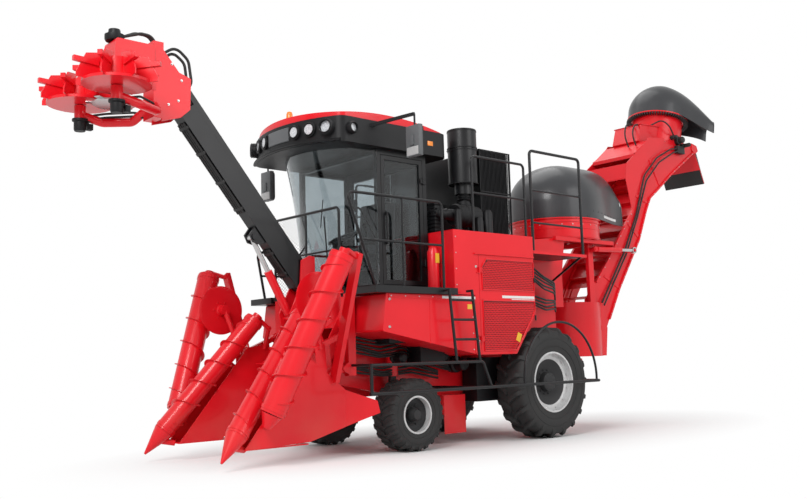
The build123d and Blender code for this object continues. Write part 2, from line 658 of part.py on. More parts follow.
def engine_bay():
    # Deck, end walls and the frame round each side door.
    deck = block(-BODY_X, BODY_X, 450, BAY_REAR_Y, DECK_TOP - DECK_T, DECK_TOP)
    deck -= block(-620, 720, 860, 1340, DECK_TOP - 100, DECK_TOP + 10)
    side = plate([(450, TANK_TOP + 10), (BAY_FRONT_Y + 80, TANK_TOP + 10), (BAY_FRONT_Y + 80, 2400),
                  (BAY_REAR_Y, 2400), (BAY_REAR_Y, DECK_TOP - DECK_T), (450, DECK_TOP - DECK_T)],
                 BODY_X - SHEET, BODY_X)
    post = block(BODY_X - 80, BODY_X, BAY_FRONT_Y, BAY_FRONT_Y + 80, BAY_FLOOR, TANK_TOP + 10)
    front = block(CAB_X - 300, BODY_X - SHEET, 450, 450 + SHEET, TANK_TOP + 10, DECK_TOP - DECK_T)
    floor = block(FRAME_X, BODY_X - 20, BAY_FRONT_Y, 1550, BAY_FLOOR, BAY_FLOOR + SHEET)
    rear = plate([(1545, BAY_FLOOR), (1560, BAY_FLOOR), (BAY_REAR_Y, 1690), (BAY_REAR_Y, DECK_TOP - DECK_T),
                  (BAY_REAR_Y - SHEET, DECK_TOP - DECK_T), (BAY_REAR_Y - SHEET, 1700)], FRAME_X, BODY_X - 20)
    for z in BAY_HINGE_Z:
        post += hinge_pin(*BAY_HINGE, z, -1)
    x, y = DECK_PAD
    body = deck + block(x - 80, x + 80, y - 60, y + 60, DECK_TOP, DECK_TOP + PAD)
    for shape in (side, post, front, floor, rear):
        body += [shape, other_side(shape)]
    body += block(-TANK_X0 + 10, TANK_X0 - 10, 450, 450 + SHEET, FRAME_TOP + 5, TANK_TOP + 10)
    body += block(-CAB_X + 280, CAB_X - 280, 450, 450 + SHEET, TANK_TOP + 10, DECK_TOP - DECK_T)
    return body


def engine_door():
    outline = [(BAY_FRONT_Y + 85, BAY_FLOOR + 5), (1545, BAY_FLOOR + 5), (BAY_REAR_Y - 5, 1645),
               (BAY_REAR_Y - 5, 2395), (BAY_FRONT_Y + 85, 2395)]
    body = plate(outline, BODY_X - SHEET, BODY_X)
    for z in BAY_HINGE_Z:
        body += hinge_leaf(*BAY_HINGE, z, 1)
    return body


def engine_block():
    body = block(-430, 640, 900, 1320, FRAME_TOP + RUN, 3050)
    body += block(-300, 500, 940, 1280, 3050, 3150)
    return body + block(-560, -430, 960, 1260, 2400, 2900)


def cooling_pack():
    body = block(-880, 880, 1390, 1900, DECK_TOP, 3880)
    for side in (1, -1):
        for step in range(12):
            y = 1400 + step * 42
            body += block(side * 880, side * 905, y, y + 12, 2740, 3860)
    return body


def engine_stacks():
    body = drum_z(800, 1120, 195, 3390, 4120) + drum_z(800, 1120, 120, 3250, 3390)
    body += drum_z(800, 1120, 60, DECK_TOP, 3260)
    return [body, drum_z(-800, 1120, 75, DECK_TOP, 4000)]


def cab_shell():
    # The floor, the front portal, the side heads and the rear wall stand face to face.
    sill = CAB_FLOOR + 40
    floor = block(-CAB_X, CAB_X, -480, CAB_REAR_Y, CAB_FLOOR, sill)
    floor += block(-TANK_X0 + 10, TANK_X0 - 10, -480, CAB_REAR_Y, FRAME_TOP, CAB_FLOOR)
    portal_rear, wall_front = CAB_POST_Y + CAB_POST, CAB_REAR_Y - CAB_POST
    solids = [floor, block(-CAB_X, -CAB_X + 40, portal_rear, wall_front, sill, 2200)]
    portal = block(-CAB_X, CAB_X, CAB_POST_Y, portal_rear, CAB_HEAD - 60, CAB_HEAD)
    rear = block(-CAB_X, CAB_X, CAB_REAR_Y - 40, CAB_REAR_Y, sill, CAB_HEAD)
    rear -= block(-CAB_X + 160, CAB_X - 160, CAB_REAR_Y - 60, CAB_REAR_Y + 20, 2620, CAB_HEAD - 120)
    for side in (1, -1):
        x0, x1 = side * (CAB_X - CAB_POST), side * CAB_X
        portal += block(x0, x1, CAB_POST_Y, portal_rear, sill, CAB_HEAD)
        rear += block(x0, x1, wall_front, CAB_REAR_Y, sill, CAB_HEAD)
        solids.append(block(x0, x1, portal_rear, wall_front, CAB_HEAD - 60, CAB_HEAD))
    for z in CAB_HINGE_Z:
        rear += hinge_pin(*CAB_HINGE, z, 1)
    return solids + [portal, rear]


def windscreen_section(nose, z):
    x = CAB_X
    y = CAB_POST_Y - GLASS - RUN
    outer = ThreePointArc((-x, y, z), (0, nose, z), (x, y, z))
    inner = ThreePointArc((x, y + GLASS, z), (0, nose + GLASS, z), (-x, y + GLASS, z))
    ends = [Line((x, y, z), (x, y + GLASS, z)), Line((-x, y + GLASS, z), (-x, y, z))]
    return make_face([outer, ends[0], inner, ends[1]])


def cab_glass():
    sections = [windscreen_section(-525, CAB_FLOOR + 40), windscreen_section(-1000, CAB_HEAD)]
    screen = loft(sections, ruled=True)
    side = block(-CAB_X, -CAB_X + GLASS, CAB_POST_Y + CAB_POST, CAB_REAR_Y - CAB_POST, 2200, CAB_HEAD - 60)
    rear = block(-CAB_X + 160, CAB_X - 160, CAB_REAR_Y - 20, CAB_REAR_Y - 20 + GLASS, 2620, CAB_HEAD - 120)
    return screen, side, rear


def door_outline(inset):
    y0 = CAB_POST_Y + CAB_POST + 6 + inset
    y1 = CAB_REAR_Y - CAB_POST - 6 - inset
    return [(y0, CAB_FLOOR + 46 + inset), (y1, CAB_FLOOR + 46 + inset), (y1, CAB_HEAD - 66 - inset),
            (y0, CAB_HEAD - 66 - inset)]


def cab_door():
    frame = plate(door_outline(0), CAB_X - 40, CAB_X) - plate(door_outline(55), CAB_X - 60, CAB_X + 20)
    frame += block(CAB_X, CAB_X + 40, CAB_POST_Y + 110, CAB_POST_Y + 130, 2500, 2900)
    frame -= block(CAB_X, CAB_X + 25, CAB_POST_Y + 100, CAB_POST_Y + 140, 2540, 2860)
    for z in CAB_HINGE_Z:
        frame += hinge_leaf(*CAB_HINGE, z, -1)
    return frame


def door_glass():
    return plate(door_outline(55), CAB_X - 24, CAB_X - 24 + GLASS)


def cab_interior():
    body = block(-180, 180, -60, 260, CAB_FLOOR + 40, CAB_FLOOR + 300)
    body += block(-260, 260, -220, 280, CAB_FLOOR + 300, CAB_FLOOR + 460)
    body += plate([(180, CAB_FLOOR + 460), (290, CAB_FLOOR + 460), (340, CAB_FLOOR + 1150),
                   (240, CAB_FLOOR + 1150)], -240, 240)
    for side in (1, -1):
        body += block(side * 260, side * 380, -200, 250, CAB_FLOOR + 480, CAB_FLOOR + 600)
        body += block(side * 250, side * 300, 60, 180, CAB_FLOOR + 400, CAB_FLOOR + 480)
    column = rod((0, -330, CAB_FLOOR + 40), (0, -330, CAB_FLOOR + 600), 50)
    wheel = Pos(0, -300, CAB_FLOOR + 700) * (Rot(25, 0, 0) * Torus(190, 16))
    spoke = Pos(0, -300, CAB_FLOOR + 700) * (Rot(25, 0, 0) * Box(380, 30, 16))
    hub = rod((0, -330, CAB_FLOOR + 590), (0, -300, CAB_FLOOR + 700), 40)
    mat = block(-300, 300, -400, 300, CAB_FLOOR + 40, CAB_FLOOR + 52)
    return body + mat + column + wheel + spoke + hub


def roof_plan(x, front, side_y, rear, z):
    arc = ThreePointArc((-x, side_y, z), (0, front, z), (x, side_y, z))
    rest = Polyline((x, side_y, z), (x, rear, z), (-x, rear, z), (-x, side_y, z))
    return make_face([arc, rest])


def roof_slab(inset, z0, z1):
    face = roof_plan(ROOF_X - inset, ROOF_FRONT_Y + inset, ROOF_SIDE_Y + inset, ROOF_REAR_Y - inset, z0)
    body = extrude(face, amount=z1 - z0, dir=(0, 0, 1))
    return fillet(body.edges().filter_by(Axis.Z), 140 - inset / 2)


def cab_roof_band():
    # A tray with the ceiling as its floor, closed by the roof cap.
    body = roof_slab(0, CAB_HEAD, ROOF_TOP) - roof_slab(ROOF_WALL, CAB_HEAD + CEILING, ROOF_TOP + 1)
    solids = [body]
    # Columns: X and Y of each mirror, how far its foot and its top lie below the roof
    for x, y, foot, head in ((1400, -280, 500, 130), (-1330, -560, 660, 260)):
        side = 1 if x > 0 else -1
        z0, z1 = ROOF_TOP - foot, ROOF_TOP - head
        arm = beam((side * (ROOF_X - 30), y - 280, ROOF_TOP - 60), (x, y, ROOF_TOP + 20), 70, 40)
        arm += rod((x, y, ROOF_TOP + 20), (x, y, z1 - 20), 12)
        case = block(x - 115, x + 115, y - 35, y + 35, z0, z1)
        solids.append(arm + fillet(case.edges().filter_by(Axis.Y), 50) - body)
    return solids


def cab_roof_cap():
    # A crowned shell with the beacon's foot on it.
    reach = 1320
    ball_r = (reach ** 2 + ROOF_CROWN ** 2) / (2 * ROOF_CROWN)
    middle = Pos(0, -270, ROOF_TOP + ROOF_CROWN - ball_r)
    body = roof_slab(25, ROOF_TOP, ROOF_TOP + 320) & (middle * Sphere(ball_r))
    body -= roof_slab(ROOF_WALL, ROOF_TOP - 1, ROOF_TOP + 320) & (middle * Sphere(ball_r - CAP_WALL))
    return body + drum_z(-300, -900, 45, ROOF_TOP + 132, ROOF_TOP + 220)


def work_lamps():
    # Round lenses square to the roof's bowed front.
    bow = ROOF_SIDE_Y - ROOF_FRONT_Y
    radius = (ROOF_X ** 2 + bow ** 2) / (2 * bow)
    reach = radius + LAMP_DEPTH / 2 + RUN
    lamps = []
    # Columns: side distance X, radius of the lens
    for x, r in ((320, 62), (540, 62), (760, 70)):
        lean = asin(x / radius)
        for side in (1, -1):
            lens = Rot(0, 0, side * degrees(lean)) * (Rot(90, 0, 0) * Cylinder(r, LAMP_DEPTH))
            y = ROOF_FRONT_Y + radius - reach * cos(lean)
            lamps.append(Pos(side * reach * sin(lean), y, ROOF_TOP - 130) * lens)
    for side in (1, -1):
        x = side * (ROOF_X + RUN)
        lamps.append(drum_x(ROOF_SIDE_Y + 130, ROOF_TOP - 140, 50, x, x + side * LAMP_DEPTH))
    return lamps


def handrails():
    # The rails and the guard stand on the walkways, face to face.
    floor = block(-900, 900, GUARD_Y - 20, -720, UPRIGHT_TOP, 1935)
    for side in (1, -1):
        floor += block(side * (CAB_X + FIT), side * (BODY_X + 60), -870, 440, TANK_TOP + 1, WALK_TOP)
    rails = []
    # Columns: the rail's X, the reach of its front post's top, its height
    for x, lean, top in ((BODY_X + 35, 410, 3000), (-1010, 120, 2560)):
        foot = WALK_TOP - 15
        middle = (foot + top) / 2
        route = [(x, -840, foot), (x, -840 - lean, top), (x, 230, top), (x, 230, foot)]
        rail = bent_tube(route, 17, 70)
        rail += rod((x, -840 - lean / 2, middle), (x, 230, middle), 14)
        rail += rod((x, -420, foot), (x, -420, top), 14)
        rails.append(rail - floor)
    route = [(-770, GUARD_Y, 1935), (-770, GUARD_Y, 2950), (600, GUARD_Y, 2950), (600, GUARD_Y, 1935)]
    guard = bent_tube(route, 17, 60) + rod((-770, GUARD_Y, 2440), (600, GUARD_Y, 2440), 12)
    x, y = WALK_PAD
    floor += block(x - 60, x + 60, y - 50, y + 50, WALK_TOP, WALK_TOP + PAD)
    return [floor, guard] + rails


def joined(pieces):
    body = pieces[0]
    for piece in pieces[1:]:
        body += piece
    return body


def deck_rails():
    pieces = []
    for side in (1, -1):
        x = side * 1190
        route = [(x, 880, DECK_TOP), (x, 880, 3680), (x, 1890, 3680), (x, 1890, DECK_TOP)]
        pieces.append(bent_tube(route, 17, 60) + rod((x, 880, 3200), (x, 1890, 3200), 14))
    return pieces


def duct_shelves():
    # A step on each side of the extractor's duct, with struts under it and a rail round it.
    pieces = []
    for side in (1, -1):
        x0, x1 = side * (DUCT_X + RUN), side * (SHELF_X + 25)
        shelf = block(min(x0, x1), max(x0, x1), SHELF_Y[0] - 40, SHELF_Y[1] + 40, SHELF_TOP - 20, SHELF_TOP)
        for y in SHELF_Y:
            shelf += rod((side * (DUCT_X + 12), y, SHELF_TOP - 330), (side * (SHELF_X - 40), y, SHELF_TOP - 14), 16)
        shelf -= block(-DUCT_X - RUN, DUCT_X + RUN, SHELF_Y[0] - 100, SHELF_Y[1] + 100, SHELF_TOP - 500, SHELF_TOP)
        x = side * SHELF_X
        route = [(x, SHELF_Y[0], SHELF_TOP), (x, SHELF_Y[0], SHELF_RAIL), (x, SHELF_Y[1], SHELF_RAIL),
                 (x, SHELF_Y[1], SHELF_TOP)]
        rail = bent_tube(route, 20, 60)
        for z in (SHELF_TOP + 400, SHELF_TOP + 850):
            rail += rod((x, SHELF_Y[0], z), (x, SHELF_Y[1], z), 14)
        pieces += [shelf, rail]
    return pieces


def side_rail():
    x = 1400
    lower = bent_tube([(x, -1060, 735), (x, 3090, 735), (FRAME_X + RUN, 3090, 735)], 20, 60)
    upper = bent_tube([(x, -1040, 1050), (x, 740, 1050), (x, 880, 735)], 18, 60)
    body = lower + upper
    body += rod((x, -1040, 725), (x, -1040, 1060), 20)
    body += rod((x, -800, 1050), (UPRIGHT_X1 + RUN, -800, 1050), 16)
    body += rod((x, 700, 735), (FRAME_X + RUN, 700, 735), 18)
    arch = ThreePointArc((x, 1500, 735), (x, 2260, 1540), (x, 3000, 735))
    body += sweep(Plane(origin=(x, 1500, 735), z_dir=arch % 0) * Circle(16), path=arch)
    return body


def ladder():
    # Columns: y at the top, y at the foot
    stiles = [(200, 290), (590, 690)]
    pieces = []
    for y_top, y_foot in stiles:
        pieces.append(rod((1400, y_top, 1930), (1400, y_foot, 1050), 18))
        pieces.append(rod((1400, y_top, 1915), (BODY_X + 60 + RUN, y_top, 1915), 15))
    for share in (0.15, 0.42, 0.69):
        y0 = stiles[0][0] + share * (stiles[0][1] - stiles[0][0])
        y1 = stiles[1][0] + share * (stiles[1][1] - stiles[1][0])
        z = 1930 - share * 880
        pieces.append(rod((1400, y0, z), (1400, y1, z), 16))
    return joined(pieces)


def duct_panels():
    # Two side walls with the front wall, the floor and the roof between them, face to face.
    y0, floor, mouth = DUCT_FRONT_Y, FRAME_TOP + 5, FRAME_REAR_Y
    outline = [(y0, floor), (mouth, floor), (mouth, 2300), (DUCT_MOUTH_Y, RING_Z0), (y0, 2700)]
    inner = [(y0 + 20, floor + 20), (mouth + 20, floor + 20), (mouth + 20, 2300),
             (DUCT_MOUTH_Y + 20, RING_Z0 + 20), (DUCT_MOUTH_Y - 80, RING_Z0 - 18), (y0 + 20, 2684)]
    x = DUCT_X - DUCT_WALL
    shell = plate(outline, -x, x) - plate(inner, -x - 1, x + 1)
    panels = [shell & block(-x, x, y0, y0 + 20, floor, RING_Z0),
              shell & block(-x, x, y0 + 20, DUCT_MOUTH_Y, floor, floor + 20),
              shell & block(-x, x, y0 + 20, DUCT_MOUTH_Y, 2600, RING_Z0)]
    return panels + [plate(outline, side * x, side * DUCT_X) for side in (1, -1)]


def extractor_base():
    ring = drum_z(0, RING_Y, RING_R, RING_Z0, RING_Z1)
    ring -= drum_z(0, RING_Y, RING_R - RING_WALL, RING_Z0 - 1, RING_Z1 + 1)
    flange = drum_z(0, RING_Y, RING_R + 30, RING_Z1 - 16, RING_Z1)
    flange -= drum_z(0, RING_Y, RING_R - RING_WALL, RING_Z1 - 20, RING_Z1 + 1)
    body = ring + flange
    beams = [block(side * DUCT_X, side * DUCT_BEAM_X, 3200, 4640, RING_Z0 - 60, RING_Z0) for side in (1, -1)]
    body += block(-640, 640, 4130, 4270, RING_Z0, RING_Z0 + 40)
    body += block(-690, 690, 3900, 4040, RING_Z0, RING_Z0 + 40)
    body += drum_z(0, RING_Y, 110, RING_Z0 + 30, RING_Z0 + 130)
    body -= drum_z(0, RING_Y, 40 + RUN, RING_Z0 + 40, RING_Z0 + 140)
    body -= drum_z(0, SLEW_Y, 50 + RUN, RING_Z0 - 10, RING_Z0 + 30)
    return duct_panels() + beams + [body]


def extractor_fan():
    z = RING_Z0 + 150
    body = drum_z(0, 0, 130, z, z + 90) + drum_z(0, 0, 40, RING_Z0 + 45, z)
    for step in range(4):
        blade = Pos(360, 0, z + 45) * (Rot(28, 0, 0) * Box(480, 190, 10))
        body += Rot(0, 0, 90 * step) * blade
    return Pos(0, RING_Y, 0) * body


def trunk_section(half, height, y):
    # A flat-topped arch across the trunk, standing on z = 0.
    corner = min(half, height) * 0.45
    points = [(-half, 0), (-half, height - corner), (-half + corner, height), (half - corner, height),
              (half, height - corner), (half, 0)]
    frame = Plane(origin=(0, y, 0), x_dir=(1, 0, 0), z_dir=(0, -1, 0))
    return make_face(frame * Polyline(*points, close=True))


def hood_skin(radius, wall_rise, rise, trunk, mouth_x, mouth_rise, inset):
    # A domed drum whose trunk runs out to +Y and narrows to its mouth.
    r, top = radius - inset, rise - inset
    height = top - wall_rise
    cap_r = (r * r + height * height) / (2 * height)
    half_angle = asin(r / cap_r) / 2
    shoulder = (cap_r * sin(half_angle), 0, top - cap_r + cap_r * cos(half_angle))
    dome = ThreePointArc((r, 0, wall_rise), shoulder, (0, 0, top))
    foot = Polyline((0, 0, top), (0, 0, 0), (r, 0, 0), (r, 0, wall_rise))
    body = revolve(make_face([dome, foot]), axis=Axis.Z)
    root = trunk_section(r * 0.92, top * 0.84, 0)
    mouth = trunk_section(mouth_x - inset, mouth_rise - inset, trunk)
    body += loft([root, mouth], ruled=True)
    if inset:
        body += extrude(mouth, amount=inset, dir=(0, 1, 0))
    return body


def hood(radius, wall_rise, rise, trunk, mouth_x, mouth_rise, wall):
    # An open-bottomed shell with its mouth at the trunk's end.
    outer = hood_skin(radius, wall_rise, rise, trunk, mouth_x, mouth_rise, 0)
    inner = Pos(0, 0, -0.5) * hood_skin(radius, wall_rise, rise, trunk, mouth_x, mouth_rise, wall)
    return outer - inner


def extractor_hood():
    shell = hood(RING_R + 15, 250, 900, HOOD_TRUNK, HOOD_MOUTH_X, 330, 15)
    return Pos(0, RING_Y, HOOD_BASE) * shell


def elevator_turntable():
    floor_z = BOWL_Z0 + 18
    shell = drum_z(0, SLEW_Y, BOWL_R, BOWL_Z0, BOWL_TOP)
    shell -= drum_z(0, SLEW_Y, BOWL_R - 15, floor_z, BOWL_TOP + 1)
    shell -= block(-ELEV_X - 8, ELEV_X + 8, SLEW_Y - BOWL_CUT, SLEW_Y + 600, floor_z, BOWL_TOP + 1)
    body = shell + drum_z(0, SLEW_Y, 60, 970, BOWL_Z0 + 5)
    for side in (1, -1):
        ear = plate([(SLEW_Y - 40, BOWL_Z0 + 5), (4560, BOWL_Z0 + 5), (4620, 1500), (4500, BOWL_TOP),
                     (SLEW_Y - 40, BOWL_TOP)], side * (ELEV_X + 10), side * (ELEV_X + 30))
        post = block(side * (ELEV_X + 30), side * (ELEV_X + 90), SLEW_Y - 60, SLEW_Y + 60, 1500, 2780)
        post += drum_x(LUFF_FOOT[0], LUFF_FOOT[1], PIN_R, side * 505, side * (LUFF_X + 40))
        body += [ear, post]
    body += block(-ELEV_X - 90, ELEV_X + 90, SLEW_Y - 60, SLEW_Y + 60, 2780, 2840)
    body += drum_z(0, SLEW_Y, 50, 2840, RING_Z0 + 25)
    return body - drum_x(TILT_PIN[0], TILT_PIN[1], 40 + RUN, -700, 700)


def elevator_side():
    # The side's four panels meet edge to edge: foot, lower run, knee and head.
    foot = [(4110, 1090), (4550, 1360), (5020, 2120), (4710, 2560), (4120, 1940)]
    lower = [(5020, 2120), (5660, 2970), (5500, 3470), (4710, 2560)]
    knee = [(5660, 2970), (5930, 3510), (6060, 3720), (5910, 4310), (5780, 3990), (5500, 3470)]
    head = [(6060, 3720), (6300, 3880), (6780, 4220), (7570, 4710), (7640, 4830), (6820, 4880),
            (6550, 4740), (5910, 4310)]
    inner = ELEV_X - SIDE_WALL
    panels = [plate(outline, inner, ELEV_X) for outline in (foot, lower, knee, head)]
    panels[0] += drum_x(TILT_PIN[0], TILT_PIN[1], 40, inner + 5, ELEV_X + 45)
    panels[1] += drum_x(LUFF_EYE[0], LUFF_EYE[1], PIN_R, inner + 5, LUFF_X + 40)
    return panels


def shifted(run, gap):
    # A run of (y, z) points moved sideways by a gap, up where the gap is positive.
    ways = []
    for (y0, z0), (y1, z1) in zip(run, run[1:]):
        size = hypot(y1 - y0, z1 - z0)
        ways.append(((z0 - z1) / size, (y1 - y0) / size))
    points = []
    for index, (y, z) in enumerate(run):
        before, after = ways[max(index - 1, 0)], ways[min(index, len(ways) - 1)]
        share = gap / (1 + before[0] * after[0] + before[1] * after[1])
        points.append((y + share * (before[0] + after[0]), z + share * (before[1] + after[1])))
    return points


def strip_along(run, low, high, x0, x1):
    # A sheet whose section follows a run between two heights above it.
    return plate(shifted(run, high) + shifted(run, low)[::-1], x0, x1)


def elevator_head():
    # The second extractor's collar stands on the head's roof and leans as its ring does.
    inner = ELEV_X - SIDE_WALL
    wall = SECOND_RING_R - 15
    roof = beam((0, HEAD_ROOF[0], HEAD_ROOF[1]), (0, HEAD_ROOF[2], HEAD_ROOF[3]), 2 * inner, 14)
    roof -= second_pose() * drum_z(0, 0, wall, -900, 50)
    collar = second_pose() * (drum_z(0, 0, SECOND_RING_R, -560, 0) - drum_z(0, 0, wall, -580, 5))
    collar -= block(-SECOND_HOOD_R, SECOND_HOOD_R, 6000, 8000, 3500, 4750)
    for side in (1, -1):
        collar -= block(side * inner, side * SECOND_HOOD_R, 6000, 8000, 3500, 4900)
    flange = second_pose() * (drum_z(0, 0, SECOND_HOOD_R + 15, -22, 0) - drum_z(0, 0, wall, -30, 5))
    bar = second_pose() * block(-wall - 5, wall + 5, -50, 50, -60, -30)
    return roof + collar + flange + bar


def elevator():
    # The beds, ties, head and flap stand between the two sides face to face.
    inner = ELEV_X - SIDE_WALL
    panels = elevator_side()
    solids = panels + [other_side(panel) for panel in panels]
    (y0, z0), (y1, z1) = CHAIN_RUN[2:]
    share = 1 - 100 / hypot(y1 - y0, z1 - z0)
    bed_run = [*CHAIN_RUN[1:3], (y0 + share * (y1 - y0), z0 + share * (z1 - z0))]
    bed_top = SPROCKET_R - SLAT_HALF - 4
    solids.append(strip_along(bed_run, bed_top - 12, bed_top, -inner, inner))
    # Columns: y, z of the round ties between the sides
    for y, z in ((4190, 1850), (4900, 2680), (5380, 3290), (5950, 4200), (5700, 3150), (5050, 2250)):
        solids.append(drum_x(y, z, 25, -inner, inner))
    head = elevator_head()
    for panel in panels:
        head -= panel
        head -= other_side(panel)
    # The flap hangs behind the mouth and steers the cane down.
    (y0, z0), (y1, z1) = FLAP
    solids.append(plate([(y0 - 6, z0 - 3), (y0 + 6, z0 + 3), (y1 + 6, z1 + 3), (y1 - 6, z1 - 3)], -inner, inner))
    return solids + [head]


def second_pose():
    return Pos(0, SECOND_RING_Y, SECOND_RING_Z) * Rot(SECOND_TILT, 0, 0)


def second_hood():
    shell = hood(SECOND_HOOD_R, 150, SECOND_RISE, 900, 230, 210, 14)
    return second_pose() * (Pos(0, 0, RUN) * (Rot(0, 0, -40) * shell))


def chain_loop(low, high, x0, x1):
    # A chain's band round both sprockets, between two distances from its middle line.
    def filled(reach):
        body = strip_along(CHAIN_RUN, -reach, reach, x0, x1)
        for y, z in (CHAIN_RUN[0], CHAIN_RUN[-1]):
            body += drum_x(y, z, reach, x0, x1)
        return body
    return filled(high) - filled(low)


def chain_side():
    # One chain with its two sprockets and the outer ends of their shafts.
    body = chain_loop(SPROCKET_R - 12, SPROCKET_R + 12, CHAIN_X - CHAIN_HALF, CHAIN_X + CHAIN_HALF)
    for y, z in (CHAIN_RUN[0], CHAIN_RUN[-1]):
        body += drum_x(y, z, SPROCKET_R - 8, CHAIN_X - SPROCKET_HALF, CHAIN_X + SPROCKET_HALF)
        body += drum_x(y, z, SHAFT_R, CHAIN_X, ELEV_X - SIDE_WALL)
    return body


def conveyor():
    # Two chains that carry upright slats over the beds and back beneath them, all face to face.
    side = chain_side()
    shaft_x = CHAIN_X - SPROCKET_HALF
    slat_x = CHAIN_X - CHAIN_HALF
    solids = [side, other_side(side)]
    solids += [drum_x(y, z, SHAFT_R, -shaft_x, shaft_x) for y, z in (CHAIN_RUN[0], CHAIN_RUN[-1])]
    for gap in (SPROCKET_R, -SPROCKET_R):
        run = shifted(CHAIN_RUN, gap)
        for (y0, z0), (y1, z1) in zip(run, run[1:]):
            size = hypot(y1 - y0, z1 - z0)
            count = int(size / SLAT_STEP)
            turn = Rot(degrees(atan2(z1 - z0, y1 - y0)), 0, 0)
            for step in range(count):
                share = (step + 0.5) / count
                place = Pos(0, y0 + share * (y1 - y0), z0 + share * (z1 - z0))
                solids.append(place * (turn * Box(2 * slat_x, 12, 2 * SLAT_HALF)))
    return solids


EXPORTS = {}


def export(name, *shapes):
    # A node of one solid, or of several that share its body.
    solids = [Pos(0, FRONT_AXLE_Y, 0) * solid for shape in shapes for solid in shape.solids()]
    EXPORTS[name] = solids[0] if len(solids) == 1 else Compound(solids)


def pair(name, shape):
    export(name + "_left", shape)
    export(name + "_right", other_side(shape))


def main():
    export("chassis_frame", chassis_frame() + base_cutter_box(), *slew_tail())
    export("front_frame", front_frame() + topper_mast())
    pair("knuckle", knuckle())
    pair("front_tyre", front_tyre())
    pair("front_rim", front_rim())
    pair("rear_tyre", rear_tyre())
    pair("rear_rim", rear_rim())
    shape = tank()
    export("side_tanks", shape, other_side(shape))
    export("engine_bay", engine_bay())
    pair("engine_door", engine_door())
    export("engine_block", engine_block())
    export("cooling_pack", cooling_pack(), *engine_stacks())
    export("cab_shell", *cab_shell())
    export("cab_glass", *cab_glass())
    export("cab_door", cab_door())
    export("door_glass", door_glass())
    export("cab_interior", cab_interior())
    export("cab_roof_band", *cab_roof_band())
    export("cab_roof_cap", cab_roof_cap())
    export("work_lamps", *work_lamps())
    export("handrails", *handrails(), *deck_rails(), *duct_shelves())
    rail = side_rail()
    export("side_rails", rail + ladder(), other_side(rail))
    export("topper_boom", topper_boom())
    export("topper_link", topper_link())
    export("topper_head", topper_head())
    pair("topper_drum", topper_drum())
    export("topper_cutter", topper_cutter())
    barrel, piston = cylinder_parts(LIFT_FOOT, LIFT_EYE, 0, 38, 30, 640, 700, 40, 40, 0)
    export("lift_barrel", barrel)
    export("lift_rod", piston)
    pair("divider", divider())
    pair("inner_scroll", inner_scroll())
    pair("outer_scroll", outer_scroll())
    pair("side_disc", side_disc())
    pair("divider_lower_arm", divider_arm(ARM_ROOT_Z[0]))
    pair("divider_upper_arm", divider_arm(ARM_ROOT_Z[1]))
    export("knockdown_roller", knockdown_roller())
    pair("base_cutter_disc", base_cutter_disc())
    export("extractor_base", *extractor_base())
    export("extractor_fan", extractor_fan())
    export("extractor_hood", extractor_hood())
    export("elevator_turntable", elevator_turntable())
    export("elevator", *elevator())
    export("conveyor", *conveyor())
    export("second_hood", second_hood())
    barrel, piston = cylinder_parts(LUFF_FOOT, LUFF_EYE, LUFF_X, 32, 25, 680, 900, 52, 30, PIN_R + 9)
    export("luff_barrels", barrel, other_side(barrel))
    export("luff_rods", piston, other_side(piston))


main()
os.makedirs("parts", exist_ok=True)
for name, shape in EXPORTS.items():
    export_step(shape, "parts/" + name + ".step")
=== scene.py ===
# %% [markdown]
# # Dressing a sugar-cane harvester
# The solids of this machine were drawn and packed before. This lesson gives them paint, rubber and
# glass, and adds the things that are too fine for the solids, such as tread, wire mesh and hoses.
# Every piece is made in metres, in the place that it has on the machine, and then rides on one of
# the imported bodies, so that it turns or swings when that body does.

import json
from math import asin, atan2, cos, hypot, pi, radians, sin, sqrt, tan

import bmesh
import bpy
from mathutils import Matrix, Vector


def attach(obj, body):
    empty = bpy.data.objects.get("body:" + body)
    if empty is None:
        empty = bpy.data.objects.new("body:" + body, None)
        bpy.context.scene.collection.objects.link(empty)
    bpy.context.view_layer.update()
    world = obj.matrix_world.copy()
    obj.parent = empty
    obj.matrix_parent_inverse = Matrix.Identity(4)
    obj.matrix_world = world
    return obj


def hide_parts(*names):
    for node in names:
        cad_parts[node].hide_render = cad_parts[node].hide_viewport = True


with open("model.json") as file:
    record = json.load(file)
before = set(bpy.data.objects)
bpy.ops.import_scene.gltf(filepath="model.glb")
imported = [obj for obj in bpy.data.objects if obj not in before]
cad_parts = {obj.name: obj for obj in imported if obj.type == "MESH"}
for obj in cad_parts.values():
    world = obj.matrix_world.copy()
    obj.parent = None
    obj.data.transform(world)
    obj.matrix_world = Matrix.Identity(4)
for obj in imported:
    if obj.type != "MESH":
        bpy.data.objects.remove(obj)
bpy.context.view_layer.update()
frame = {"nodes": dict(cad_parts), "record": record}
NODES = frame["nodes"]
BODY = {node: body for body, nodes in frame["record"]["behaviour"]["bodies"].items() for node in nodes}
AXLE_Y = -1.950

# %% [markdown]
# ## Camera
# The photograph was taken from low down, off the machine's front left corner, with a slightly
# raised and rolled camera. Its place was worked out from straight edges of the machine. A camera
# looks along its own -Z, so its turn is built from three vectors: right, up and backwards.

# %% Camera
WIDTH_PX = 807
FOCAL_PX = 924.9
SENSOR_MM = 36.0
AZIMUTH, PITCH, ROLL = radians(48.315), radians(6.679), radians(-1.663)
EYE = Vector((9.328, -9.525, 1.121))

ahead = Vector((-sin(AZIMUTH) * cos(PITCH), cos(AZIMUTH) * cos(PITCH), sin(PITCH)))
level = Vector((cos(AZIMUTH), sin(AZIMUTH), 0))
upward = level.cross(ahead)
right = level * cos(ROLL) + upward * sin(ROLL)
top = upward * cos(ROLL) - level * sin(ROLL)

